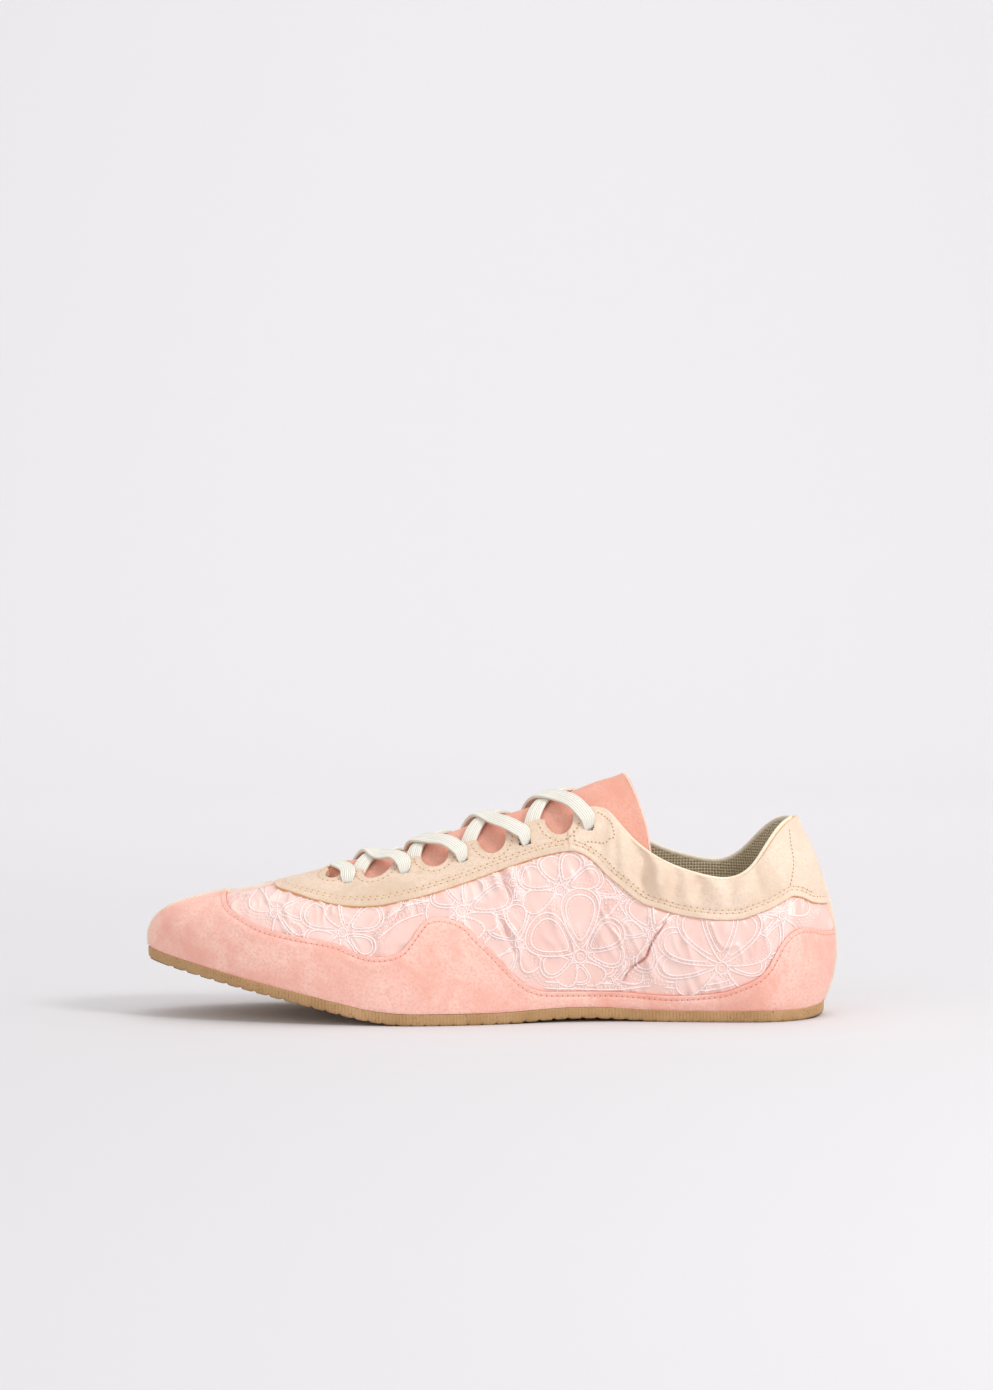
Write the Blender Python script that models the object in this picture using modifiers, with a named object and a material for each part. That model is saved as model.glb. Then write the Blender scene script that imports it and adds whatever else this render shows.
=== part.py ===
"""A low left sneaker that stands empty on its sole. The toe points to -X, the outer side is -Y and +Z is up.

Lengths are in millimetres and become metres where a mesh is made. The origin is the middle of the heel's
flat resting spot, on the floor."""

import math

import bpy
import bmesh
import numpy as np

MM = 0.001
COLLECTION = "sneaker"

# Sole
SOLE_LENGTH = 264.5
HEEL_SEAT = 20.5  # from the back of the sole to the middle of the heel's resting spot
TOE_WIDTH = 60.0
BALL_WIDTH = 85.0
WAIST_WIDTH = 54.0
HEEL_WIDTH = 59.5
TOE_SPRING = 22.3
SPRING_LENGTH = 106.0  # from the tip to where the sole leaves the floor
SPRING_BEND = 26.0  # length over which it bends up
ARCH_RISE = 1.4
HEEL_ROCK = 1.2
HEEL_ROCK_LENGTH = 14.0
SOLE_THICKNESS = 4.4
SOLE_ROUNDING = 0.9
LUG_PITCH = 5.5
LUG_LAND = 3.2
LUG_DEPTH = 0.7

# Upper and what is sewn on it
INSTEP_HEIGHT = 83.0  # top lace tab
HEEL_HEIGHT = 77.2  # top of the heel
WALL = 1.5
SUEDE = 1.0
GAP = 0.3
BASE_INSET = 1.6  # from the sole's edge in to the foot of the wall
THROAT_WIDTH = 29.0  # between the top lace tabs
COLLAR_WIDTH = 53.0
SCALLOP_WIDTH = 11.0
SCALLOP_DEPTH = 9.5
FRONT_SLIT_WIDTH = 5.0
FRONT_SLIT_DEPTH = 7.5
EYELET_DIAMETER = 4.6
EYELET_DROP = 8.5  # from a tab's edge down the wall to its lace hole
STRIP_WIDTH = 5.0
STRIP_THICKNESS = 0.6

# Insole, tongue and lace
INSOLE_THICKNESS = 2.4
TONGUE_HEIGHT = 95.0
TONGUE_THICKNESS = 2.6
TONGUE_CLEARANCE = 0.8
LACE_WIDTH = 6.4
LACE_THICKNESS = 1.3
LACE_RISE = 0.8  # how far a strand lifts as it passes a tab's edge
LACE_REST = 0.5  # how far a stiff flat strand stands off the curved face under it
TAB_CORNER = 0.20  # rows from a tab's middle to where its strand passes the edge
HOLE_SHIFT = 0.03
UNDER_TAB = 0.27  # rows from a lace hole to where the strand that leaves it comes out
EDGE_SHARE = 0.30  # share of the way across the tongue at which the lace tabs' edge lies
BAR_SHARE = 0.281  # where the front bar crosses the middle, as a share of the sole's length
LACE_STEPS = 10
TONGUE_STEPS = 12

TIP_X = HEEL_SEAT - SOLE_LENGTH

# Plan of the sole. A row: share of the length from the tip, the width it follows, half widths of the outer
# and inner side and sideways shift as shares of that width.
PLAN = (
    (0.00, TOE_WIDTH, 0.43, 0.49, 0.035),
    (0.10, TOE_WIDTH, 0.50, 0.56, 0.025),
    (0.20, BALL_WIDTH, 0.425, 0.465, 0.010),
    (0.32, BALL_WIDTH, 0.485, 0.505, 0.004),
    (0.40, BALL_WIDTH, 0.495, 0.500, 0.0),
    (0.50, BALL_WIDTH, 0.445, 0.430, 0.0),
    (0.60, WAIST_WIDTH, 0.565, 0.535, 0.0),
    (0.70, WAIST_WIDTH, 0.505, 0.480, 0.0),
    (0.83, HEEL_WIDTH, 0.492, 0.487, 0.0),
    (0.92, HEEL_WIDTH, 0.502, 0.496, 0.0),
    (1.00, HEEL_WIDTH, 0.490, 0.480, 0.0),
)
TOE_ROUND = 0.17  # share of the length over which the toe rounds off
HEEL_ROUND = 0.115
ARCH_FROM, ARCH_TO = 0.50, 0.78

# Wall lines from the toe to the heel, a row each. angle: where the line stands on the sole's outline, in
# degrees round from the tip. x, y, z: its top edge, as shares of the sole's length from the tip, of the width
# and of the height named in the row. The last four bend it, as shares of its height: out and up from its
# foot, out and down from its top.
THROAT_ROWS = (
    (0, 0.271, 0.000, 0.688, 0.14, 0.70, 1.30, 0.43),
    (22, 0.267, 0.110, 0.686, 0.13, 0.64, 1.12, 0.39),
    (38, 0.270, 0.200, 0.682, 0.11, 0.56, 0.86, 0.31),
    (52, 0.283, 0.262, 0.678, 0.08, 0.49, 0.66, 0.23),
    (64, 0.305, 0.310, 0.680, 0.06, 0.44, 0.51, 0.18),
    (75, 0.386, 0.382, 0.738, 0.05, 0.38, 0.40, 0.155),
    (86.5, 0.464, 0.412, 0.806, 0.04, 0.36, 0.31, 0.170),
    (96.5, 0.556, 0.450, 0.902, 0.05, 0.36, 0.25, 0.190),
    (108.5, 0.650, 0.487, 0.984, 0.06, 0.36, 0.19, 0.220),
)
# Height shares of the two sides stand apart here, because the inner rim is the higher one.
COLLAR_ROWS = (
    (113, 0.687, 0.315, 1.010, 1.012, 0.08, 0.34, 0.16, 0.24),
    (118.5, 0.717, 0.392, 0.898, 0.915, 0.10, 0.32, 0.13, 0.27),
    (125, 0.763, 0.462, 0.800, 0.822, 0.12, 0.32, 0.10, 0.30),
    (132, 0.815, 0.500, 0.746, 0.768, 0.14, 0.33, 0.08, 0.33),
    (139, 0.855, 0.498, 0.732, 0.757, 0.15, 0.34, 0.08, 0.33),
    (147, 0.887, 0.455, 0.778, 0.815, 0.15, 0.34, 0.10, 0.33),
    (156, 0.913, 0.362, 0.885, 0.910, 0.15, 0.33, 0.12, 0.33),
    (167, 0.938, 0.210, 0.975, 0.982, 0.15, 0.31, 0.14, 0.33),
    (180, 0.954, 0.000, 1.000, 1.000, 0.16, 0.30, 0.155, 0.33),
)
TAB_ROWS = (4, 5, 6, 7, 8)  # the wall lines that end in a lace tab
HEEL_ROW = 17
FRONT_SLIT_ROW = 2.8
SEAM_ROW = 7.57  # where the eyestay ends and the collar band begins
SEAM_HALF = 0.015  # half the gap there, in rows

# Panel lines on the side of the shoe: share of the sole's length from the tip, share of the heel's height
MUDGUARD_LINE = (
    (0.108, 0.760), (0.117, 0.625), (0.125, 0.565), (0.140, 0.531), (0.159, 0.500), (0.180, 0.470),
    (0.208, 0.448), (0.233, 0.431), (0.284, 0.399), (0.318, 0.354), (0.340, 0.340), (0.361, 0.345),
    (0.378, 0.369), (0.390, 0.416), (0.403, 0.477), (0.415, 0.516), (0.433, 0.528), (0.450, 0.518),
    (0.471, 0.484), (0.489, 0.422), (0.506, 0.369), (0.540, 0.247), (0.564, 0.181), (0.589, 0.160),
    (0.694, 0.154), (0.770, 0.137), (0.808, 0.143), (0.846, 0.158), (0.870, 0.188), (0.892, 0.223),
    (0.908, 0.276), (0.918, 0.337), (0.929, 0.399), (0.944, 0.446), (0.960, 0.465), (0.975, 0.460),
    (0.990, 0.443), (1.020, 0.426),
)
EYESTAY_LINE = (
    (0.178, 0.780), (0.191, 0.654), (0.208, 0.640), (0.229, 0.622), (0.251, 0.602), (0.293, 0.575),
    (0.318, 0.572), (0.345, 0.578), (0.369, 0.594), (0.403, 0.619), (0.471, 0.689), (0.536, 0.768),
    (0.580, 0.817), (0.611, 0.840), (0.626, 0.845), (0.640, 0.832), (0.657, 0.794), (0.676, 0.728),
    (0.694, 0.679), (0.716, 0.618), (0.733, 0.584), (0.755, 0.562), (0.777, 0.540), (0.808, 0.521),
    (0.846, 0.510), (0.870, 0.514), (0.889, 0.534), (0.911, 0.561), (0.935, 0.600), (0.947, 0.620),
    (0.958, 0.613), (0.980, 0.579), (1.020, 0.555),
)

# Tongue, a row for each fold across it: the wall line it follows, its crown's place as a share of the
# sole's length and its height as a share of the tongue's
TONGUE_ROWS = (
    (3.3, 0.268, 0.570),
    (4.2, 0.325, 0.617),
    (5.0, 0.378, 0.668),
    (6.0, 0.471, 0.775),
    (7.0, 0.556, 0.846),
    (8.0, 0.655, 0.950),
    (8.8, 0.685, 0.978),
    (9.6, 0.700, 0.994),
    (10.5, 0.704, 1.000),
)

COLOURS = {
    "outsole": (0.49, 0.31, 0.15, 0.6),
    "insole": (0.60, 0.50, 0.36, 0.9),
    "upper": (0.93, 0.70, 0.66, 0.45),
    "mudguard": (0.90, 0.47, 0.37, 0.95),
    "cream": (0.85, 0.66, 0.46, 0.95),
    "tongue": (0.88, 0.42, 0.31, 0.95),
    "lace": (0.88, 0.87, 0.78, 0.85),
}


def spline_slopes(knots, values, closed):
    """Slopes at the knots of the cubic spline through the values, natural or closed."""
    count = len(knots)
    steps = np.diff(knots)
    rises = np.diff(values, axis=0) / steps[:, None]
    matrix = np.zeros((count, count))
    right = np.zeros_like(values)
    for i in range(1, count - 1):
        matrix[i, i - 1:i + 2] = steps[i], 2 * (steps[i - 1] + steps[i]), steps[i - 1]
        right[i] = 3 * (steps[i] * rises[i - 1] + steps[i - 1] * rises[i])
    if closed:
        matrix[0, [count - 2, 0, 1]] = steps[0], 2 * (steps[-1] + steps[0]), steps[-1]
        right[0] = 3 * (steps[0] * rises[-1] + steps[-1] * rises[0])
        matrix[-1, [0, -1]] = 1, -1
    else:
        matrix[0, :2] = 2, 1
        right[0] = 3 * rises[0]
        matrix[-1, -2:] = 1, 2
        right[-1] = 3 * rises[-1]
    return np.linalg.solve(matrix, right)


def hermite(knots, values, slopes, at):
    """The cubic through the values with the slopes, read at the given places."""
    i = np.clip(np.searchsorted(knots, at, side="right") - 1, 0, len(knots) - 2)
    step = knots[i + 1] - knots[i]
    t = ((at - knots[i]) / step)[:, None]
    step = step[:, None]
    return (
        (2 * t**3 - 3 * t**2 + 1) * values[i]
        + (t**3 - 2 * t**2 + t) * step * slopes[i]
        + (3 * t**2 - 2 * t**3) * values[i + 1]
        + (t**3 - t**2) * step * slopes[i + 1]
    )


def spline(knots, values, at, closed=False):
    """A smooth curve of columns through the rows, read at the given places."""
    knots = np.asarray(knots, float)
    values = np.asarray(values, float)
    return hermite(knots, values, spline_slopes(knots, values, closed), np.asarray(at, float))


def panel_line(rows, x):
    """Height of a panel line at x. Its slopes are eased so that it never overshoots a row."""
    table = np.array(rows)
    knots = TIP_X + table[:, 0] * SOLE_LENGTH
    values = table[:, 1:] * HEEL_HEIGHT
    rises = np.diff(values[:, 0]) / np.diff(knots)
    slopes = np.concatenate([[rises[0]], np.zeros(len(rises) - 1), [rises[-1]]])
    same_way = rises[:-1] * rises[1:] > 0
    slopes[1:-1][same_way] = 2 / (1 / rises[:-1][same_way] + 1 / rises[1:][same_way])
    return hermite(knots, values, slopes[:, None], np.clip(x, knots[0], knots[-1]))[:, 0]


PLAN_TABLE = np.array(PLAN)
PLAN_WIDTHS = PLAN_TABLE[:, 2:] * PLAN_TABLE[:, 1:2]


def half_widths(share):
    """Signed y of the sole's outer and inner edge at a share of its length."""
    share = np.clip(share, 0, 1)
    widths = spline(PLAN_TABLE[:, 0], PLAN_WIDTHS, share)
    toe = np.sqrt(1 - np.clip(1 - share / TOE_ROUND, 0, 1) ** 2)
    heel = np.sqrt(1 - np.clip(1 - (1 - share) / HEEL_ROUND, 0, 1) ** 2)
    ends = toe * heel
    return widths[:, 2] - widths[:, 0] * ends, widths[:, 2] + widths[:, 1] * ends


def floor_rise(x):
    """Height of the tread over the floor at x: toe spring, arch and the rounded back of the heel."""
    x = np.asarray(x, float)
    lift = np.clip(TIP_X + SPRING_LENGTH - x, 0, None)
    slope = TOE_SPRING / (SPRING_LENGTH - SPRING_BEND / 2)
    bend = np.minimum(lift, SPRING_BEND)
    toe = slope * (bend**2 / (2 * SPRING_BEND) + lift - bend)
    share = np.clip(((x - TIP_X) / SOLE_LENGTH - ARCH_FROM) / (ARCH_TO - ARCH_FROM), 0, 1)
    back = np.clip((x - (HEEL_SEAT - HEEL_ROCK_LENGTH)) / HEEL_ROCK_LENGTH, 0, 1)
    return toe + ARCH_RISE * np.sin(math.pi * share) ** 2 + HEEL_ROCK * back**2


def outline(angle):
    """Points of the sole's outline at angles from the tip round the outer side and back by the inner one."""
    angle = np.radians(np.mod(angle, 360))
    share = (1 - np.cos(angle)) / 2
    outer, inner = half_widths(share)
    return np.stack([TIP_X + share * SOLE_LENGTH, np.where(angle <= math.pi, outer, inner)], axis=1)


def outline_normal(angle):
    """Unit vectors that point out of the outline in plan."""
    along = outline(angle + 0.5) - outline(angle - 0.5)
    normal = np.stack([along[:, 1], -along[:, 0]], axis=1)
    return normal / np.linalg.norm(normal, axis=1)[:, None]


def wall_rows():
    """The closed ring of wall lines: outer side from toe to heel, then inner side back to the toe."""
    def row(angle, x, y, z, bends, side):
        return (angle if side < 0 else 360 - angle, TIP_X + x * SOLE_LENGTH, side * y, z, *bends)

    def rows(side):
        throat = [
            row(r[0], r[1], r[2] * THROAT_WIDTH, r[3] * INSTEP_HEIGHT, r[4:], side) for r in THROAT_ROWS
        ]
        height = 3 if side < 0 else 4
        collar = [
            row(r[0], r[1], r[2] * COLLAR_WIDTH, r[height] * HEEL_HEIGHT, r[5:], side) for r in COLLAR_ROWS
        ]
        return throat + collar

    outer = rows(-1)
    inner = rows(1)
    return np.array(outer + inner[-2::-1])


RING = wall_rows()
RING_END = len(RING) - 1
LINE_SAMPLES = 41


def wall_lines(row):
    """Points down each wall line and their distances along it, for an array of places on the ring."""
    row = np.mod(row, RING_END)
    columns = spline(np.arange(len(RING)), np.column_stack([RING[:, 1:]]), row, closed=True)
    angle = spline(np.arange(len(RING)), RING[:, :1] - 360 * np.arange(len(RING))[:, None] / RING_END,
                   row, closed=True)[:, 0] + 360 * row / RING_END
    out = outline_normal(angle)
    foot_plan = outline(angle) - BASE_INSET * out
    foot = np.column_stack([foot_plan, floor_rise(foot_plan[:, 0]) + SOLE_THICKNESS + GAP])
    top = columns[:, :3]
    height = (top[:, 2] - foot[:, 2])[:, None]
    out = np.column_stack([out, np.zeros(len(out))])
    up = np.array([0.0, 0.0, 1.0])
    low = foot + height * (columns[:, 3:4] * out + columns[:, 4:5] * up)
    high = top + height * (columns[:, 5:6] * out - columns[:, 6:7] * up)
    t = np.linspace(0, 1, LINE_SAMPLES)[None, :, None]
    points = (
        (1 - t) ** 3 * foot[:, None] + 3 * (1 - t) ** 2 * t * low[:, None]
        + 3 * (1 - t) * t**2 * high[:, None] + t**3 * top[:, None]
    )
    lengths = np.linalg.norm(np.diff(points, axis=1), axis=2)
    return points, np.concatenate([np.zeros((len(row), 1)), np.cumsum(lengths, axis=1)], axis=1)


def wall_point(row, height):
    """Points of the wall's outer face: height is the share of the way up each line."""
    points, along = wall_lines(row)
    found = np.empty((len(row), 3))
    for i in range(len(row)):
        for axis in range(3):
            found[i, axis] = np.interp(height[i] * along[i, -1], along[i], points[i, :, axis])
    return found


def wall(row, height, offset=0.0):
    """Points at a distance out from the wall's outer face."""
    row = np.atleast_1d(np.asarray(row, float))
    height = np.broadcast_to(np.asarray(height, float), row.shape)
    points = wall_point(row, height)
    side = 0.05
    rise = 0.02
    across = wall_point(row + side, height) - wall_point(row - side, height)
    up = wall_point(row, np.clip(height + rise, 0, 1)) - wall_point(row, np.clip(height - rise, 0, 1))
    normal = np.cross(up, across)
    normal /= np.linalg.norm(normal, axis=1)[:, None]
    outward = outline_normal(np.interp(np.mod(row, RING_END), np.arange(len(RING)), RING[:, 0]))
    turned = np.sum(normal[:, :2] * outward, axis=1) + normal[:, 2] < 0
    normal[turned] *= -1
    return points + normal * np.asarray(offset)


def line_heights(rows, row):
    """Share of the way up each wall line at which it meets a panel line."""
    points, along = wall_lines(row)
    shares = np.empty(len(row))
    for i in range(len(row)):
        over = points[i, :, 2] - panel_line(rows, points[i, :, 0])
        above = np.nonzero(over > 0)[0]
        last = max(int(above[0]), 1) if len(above) else LINE_SAMPLES - 1
        mix = np.clip(-over[last - 1] / (over[last] - over[last - 1]), 0, 1)
        shares[i] = (along[i, last - 1] * (1 - mix) + along[i, last] * mix) / along[i, -1]
    return shares


def tab_spacing(row):
    """Distance along the throat edge from one whole row to the next."""
    return float(np.linalg.norm(wall(row, 1.0) - wall(row + 1, 1.0)))


def scallops():
    """Middle, half width in rows and depth of each cut in the outer side's throat edge."""
    cuts = [(FRONT_SLIT_ROW, FRONT_SLIT_WIDTH / 2 / tab_spacing(2.4), FRONT_SLIT_DEPTH)]
    for first, second in zip(TAB_ROWS, TAB_ROWS[1:]):
        middle = (first + second) / 2
        cuts.append((middle, SCALLOP_WIDTH / 2 / tab_spacing(first), SCALLOP_DEPTH))
    return cuts


SCALLOPS = scallops()
CUT_STEPS = (-1.0, -0.75, 0.0, 0.75, 1.0)


def ring_columns():
    """Places on the ring where every shell has its columns, close together round the scallops."""
    outer = [0.0, 0.4, 0.8, 1.2, 1.6]
    for middle, half, _ in SCALLOPS:
        outer += [middle + half * step for step in CUT_STEPS]
    outer += [3.9, 5.0, 6.0, 7.0, SEAM_ROW - SEAM_HALF, SEAM_ROW + SEAM_HALF, 7.85, 8.0, 8.25, 8.6]
    outer += [9.0, 9.5, 10.0, 10.5, 11.0, 11.6, 12.2, 12.8, 13.4, 14.0, 14.6, 15.1, 15.6, 16.1]
    outer += [16.6, HEEL_ROW - SEAM_HALF, HEEL_ROW + 0.0]
    outer = sorted(outer)
    return np.array(outer + [RING_END - row for row in outer[-2:0:-1]])


COLUMNS = ring_columns()


def edge_heights(row):
    """Share of the way up each line at which the wall is cut off, with the scallops."""
    folded = np.minimum(row, RING_END - row)
    depth = np.zeros(len(row))
    for middle, half, deep in SCALLOPS:
        inside = np.clip(1 - ((folded - middle) / half) ** 2, 0, None)
        depth = np.maximum(depth, deep * np.sqrt(inside))
    _, along = wall_lines(row)
    return 1 - depth / along[:, -1]


EDGE = edge_heights(COLUMNS)
PANEL_MARGIN = 0.05
MUDGUARD_FOOT = 0.012  # share of the wall's height that keeps the suede's edge off the sole
MUDGUARD_STEPS = (0.16, 0.34, 0.57, 1.0)  # rows of points up the mudguard, closer where the toe bends
UPPER_STEPS = (0.5, 1.0)  # rows across each of the two panels over it
EYESTAY_FOOT = np.minimum(line_heights(EYESTAY_LINE, COLUMNS), EDGE - PANEL_MARGIN)
MUDGUARD_TOP = np.minimum(line_heights(MUDGUARD_LINE, COLUMNS), EYESTAY_FOOT - PANEL_MARGIN)


def band(low, high, steps, offset, columns):
    """Points on the chosen columns at shares of the way between two heights, as columns by rows."""
    rows = [
        wall(COLUMNS[columns], low[columns] * (1 - step) + high[columns] * step, offset) for step in steps
    ]
    return np.stack(rows, axis=1)


def material(name):
    """One Principled finish for a sub-part, from its colour and roughness."""
    finish = bpy.data.materials.new(name)
    finish.use_nodes = True
    shader = finish.node_tree.nodes["Principled BSDF"]
    red, green, blue, roughness = COLOURS[name]
    shader.inputs["Base Color"].default_value = (red, green, blue, 1)
    shader.inputs["Roughness"].default_value = roughness
    shader.inputs["Metallic"].default_value = 0
    finish.diffuse_color = (red, green, blue, 1)
    return finish


def add_object(name, points, faces, finish, collection):
    """A smooth-shaded object from points in millimetres."""
    mesh = bpy.data.meshes.new(name)
    mesh.from_pydata([tuple(p) for p in np.asarray(points) * MM], [], faces)
    edit = bmesh.new()
    edit.from_mesh(mesh)
    bmesh.ops.recalc_face_normals(edit, faces=edit.faces)
    edit.to_mesh(mesh)
    edit.free()
    mesh.shade_smooth()
    mesh.set_sharp_from_angle(angle=math.radians(40))
    mesh.materials.append(finish)
    added = bpy.data.objects.new(name, mesh)
    collection.objects.link(added)
    return added


def sheet_faces(columns, rows, closed):
    """Quads of a sheet of points, columns by rows."""
    last = columns if closed else columns - 1
    faces = []
    for i in range(last):
        j = (i + 1) % columns
        for k in range(rows - 1):
            faces.append((i * rows + k, j * rows + k, j * rows + k + 1, i * rows + k + 1))
    return faces


def shell(name, sheet, thickness, finish, collection, closed=False, away=None):
    """A sheet of points given its thickness, towards the side away from the given middle or towards it."""
    columns, rows = sheet.shape[:2]
    shell_object = add_object(
        name, sheet.reshape(-1, 3), sheet_faces(columns, rows, closed), finish, collection
    )
    normal = shell_object.data.polygons[0].normal
    centre = np.array(shell_object.data.polygons[0].center)
    if np.dot(np.array(normal), centre - np.array(away) * MM) < 0:
        shell_object.data.flip_normals()
    thick = shell_object.modifiers.new("thickness", "SOLIDIFY")
    thick.thickness = abs(thickness) * MM
    thick.offset = 1 if thickness > 0 else -1
    return shell_object


def loft(name, sections, finish, collection):
    """A solid through closed sections with the same number of corners, capped at both ends."""
    corners = len(sections[0])
    faces = [tuple(range(corners))]
    for i in range(len(sections) - 1):
        for k in range(corners):
            n = (k + 1) % corners
            faces.append(
                (i * corners + k, i * corners + n, (i + 1) * corners + n, (i + 1) * corners + k)
            )
    faces.append(tuple((len(sections) - 1) * corners + k for k in range(corners)))
    points = np.concatenate(sections)
    return add_object(name, points, faces, finish, collection)


def end_steps():
    """Distances from each end of the sole at which its round ends need a section."""
    return (0.25, 1.0, 2.2)


def make_outsole(collection):
    """The rubber sole: flat lands between V grooves that run across the tread and notch its side."""
    stations = []
    first = math.ceil((TIP_X + LUG_PITCH) / LUG_PITCH)
    last = math.floor((HEEL_SEAT - LUG_PITCH) / LUG_PITCH)
    for i in range(first, last + 1):
        middle = i * LUG_PITCH
        stations += [(middle - LUG_LAND / 2, 0.0), (middle + LUG_LAND / 2, 0.0)]
        if i < last:
            stations.append((middle + LUG_PITCH / 2, LUG_DEPTH))
    ends = [(TIP_X + step, 0.0) for step in end_steps()]
    ends += [(HEEL_SEAT - step, 0.0) for step in end_steps()]
    stations = sorted(stations + ends)
    sections = []
    for x, groove in stations:
        share = np.array([(x - TIP_X) / SOLE_LENGTH])
        outer, inner = (float(side[0]) for side in half_widths(share))
        tread = float(floor_rise(x))
        top = tread + SOLE_THICKNESS
        low = tread + groove
        ease = min(SOLE_ROUNDING, (inner - outer) / 4)
        sections.append([
            (x, outer + ease, low),
            (x, inner - ease, low),
            (x, inner, low + ease),
            (x, inner, top),
            (x, outer, top),
            (x, outer, low + ease),
        ])
    return loft("outsole", sections, material("outsole"), collection)


def make_insole(collection):
    """The insole fills the foot of the upper, clear of its wall."""
    inset = BASE_INSET + WALL + GAP + 0.6
    sections = []
    for share in np.concatenate([[0.004, 0.02, 0.05], np.linspace(0.09, 0.91, 19), [0.95, 0.98, 0.996]]):
        outer, inner = (float(side[0]) for side in half_widths(np.array([share])))
        x = TIP_X + inset + share * (SOLE_LENGTH - 2 * inset)
        slim = min(inset, (inner - outer) / 2 - 1)
        bottom = float(floor_rise(x)) + SOLE_THICKNESS + GAP
        top = bottom + INSOLE_THICKNESS
        sections.append([
            (x, outer + slim, bottom),
            (x, inner - slim, bottom),
            (x, inner - slim, top),
            (x, outer + slim, top),
        ])
    return loft("insole", sections, material("insole"), collection)


def make_upper(collection, finish):
    """The hollow wall, open underneath, at the throat and at the collar. Its rows run along the panel lines."""
    every = np.arange(len(COLUMNS))
    foot = np.zeros(len(COLUMNS))
    low = band(foot, MUDGUARD_TOP, (0.0, *MUDGUARD_STEPS), 0.0, every)
    middle = band(MUDGUARD_TOP, EYESTAY_FOOT, UPPER_STEPS, 0.0, every)
    high = band(EYESTAY_FOOT, EDGE, UPPER_STEPS, 0.0, every)
    sheet = np.concatenate([low, middle, high], axis=1)
    return shell("upper", sheet, -WALL, finish, collection, closed=True, away=foot_middle())


def foot_middle():
    """A point inside the shoe, which tells a shell's inside from its outside."""
    return (TIP_X + 0.5 * SOLE_LENGTH, 0.0, 0.3 * HEEL_HEIGHT)


def columns_between(first, last):
    """Indexes of the columns from one row to another, on either side or across the heel or toe."""
    return np.array([i for i, row in enumerate(COLUMNS) if first - 1e-6 <= row <= last + 1e-6])


def make_mudguard(collection, suede):
    """The suede band round the foot of the wall. It needs no columns inside the cuts between lace tabs."""
    folded = np.minimum(COLUMNS, RING_END - COLUMNS)
    kept = np.full(len(COLUMNS), True)
    for middle, half, _ in SCALLOPS[1:]:
        away = np.abs(folded - middle)
        kept &= (away > half * 0.9) | (away < half * 0.1)
    columns = np.nonzero(kept)[0]
    foot = wall(COLUMNS[columns], MUDGUARD_FOOT, GAP)[:, None]
    bottom = np.zeros(len(COLUMNS))
    above = band(bottom, MUDGUARD_TOP, MUDGUARD_STEPS, GAP, columns)
    sheet = np.concatenate([foot, above], axis=1)
    shell("mudguard", sheet, SUEDE, suede, collection, closed=True, away=foot_middle())


def overlay(name, columns, cream, collection):
    """A cream suede piece between the panel line and the cut edge, from the wall's own function."""
    sheet = band(EYESTAY_FOOT, EDGE, (0.0, *UPPER_STEPS), GAP, columns)
    return shell(name, sheet, SUEDE, cream, collection, away=foot_middle())


def make_overlays(collection, cream):
    """The eyestay and the two collar bands, which meet under the heel strip."""
    front = np.concatenate([
        columns_between(RING_END - SEAM_ROW + SEAM_HALF, RING_END),
        columns_between(0, SEAM_ROW - SEAM_HALF),
    ])
    outer = columns_between(SEAM_ROW + SEAM_HALF, HEEL_ROW - SEAM_HALF)
    inner = columns_between(HEEL_ROW + SEAM_HALF, RING_END - SEAM_ROW - SEAM_HALF)
    return [
        overlay("eyestay", front, cream, collection),
        overlay("collar_band_outer", outer, cream, collection),
        overlay("collar_band_inner", inner, cream, collection),
    ]


def strip(name, row, heights, offsets, cream, collection):
    """A narrow cover strip up the middle of the toe or heel, at a distance from the wall at each height."""
    half = STRIP_WIDTH / 2
    sheet = []
    for side in (-half, 0.0, half):
        line = []
        for height, offset in zip(heights, offsets):
            middle = wall(row, height, offset)[0]
            beside = wall(row + 0.02, height, offset)[0] - wall(row - 0.02, height, offset)[0]
            line.append(middle + side * beside / np.linalg.norm(beside))
        sheet.append(line)
    return shell(name, np.array(sheet), STRIP_THICKNESS, cream, collection, away=foot_middle())


def make_strips(collection, cream):
    """The strips lie over the suede. The toe's comes down onto the satin and stops short of the eyestay."""
    over_suede = 2 * GAP + SUEDE
    toe_top = float(MUDGUARD_TOP[0])
    toe_end = float(EYESTAY_FOOT[0])
    low = [2.5 * MUDGUARD_FOOT] + [toe_top * step for step in MUDGUARD_STEPS]
    past = [toe_top + (toe_end - toe_top) * step for step in (0.25, 0.5, 0.9)]
    lifts = [over_suede] * len(low) + [0.6 * over_suede, GAP, GAP]
    strip("toe_strip", 0.0, low + past, lifts, cream, collection)

    back = int(np.argmin(np.abs(COLUMNS - HEEL_ROW)))
    top, band_foot, rim = (float(heights[back]) for heights in (MUDGUARD_TOP, EYESTAY_FOOT, EDGE))
    heights = [2.5 * MUDGUARD_FOOT] + [top * step for step in MUDGUARD_STEPS]
    heights += [band_foot, (band_foot + rim) / 2, 0.98 * rim]
    strip("heel_strip", float(HEEL_ROW), heights, [over_suede] * len(heights), cream, collection)


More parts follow.
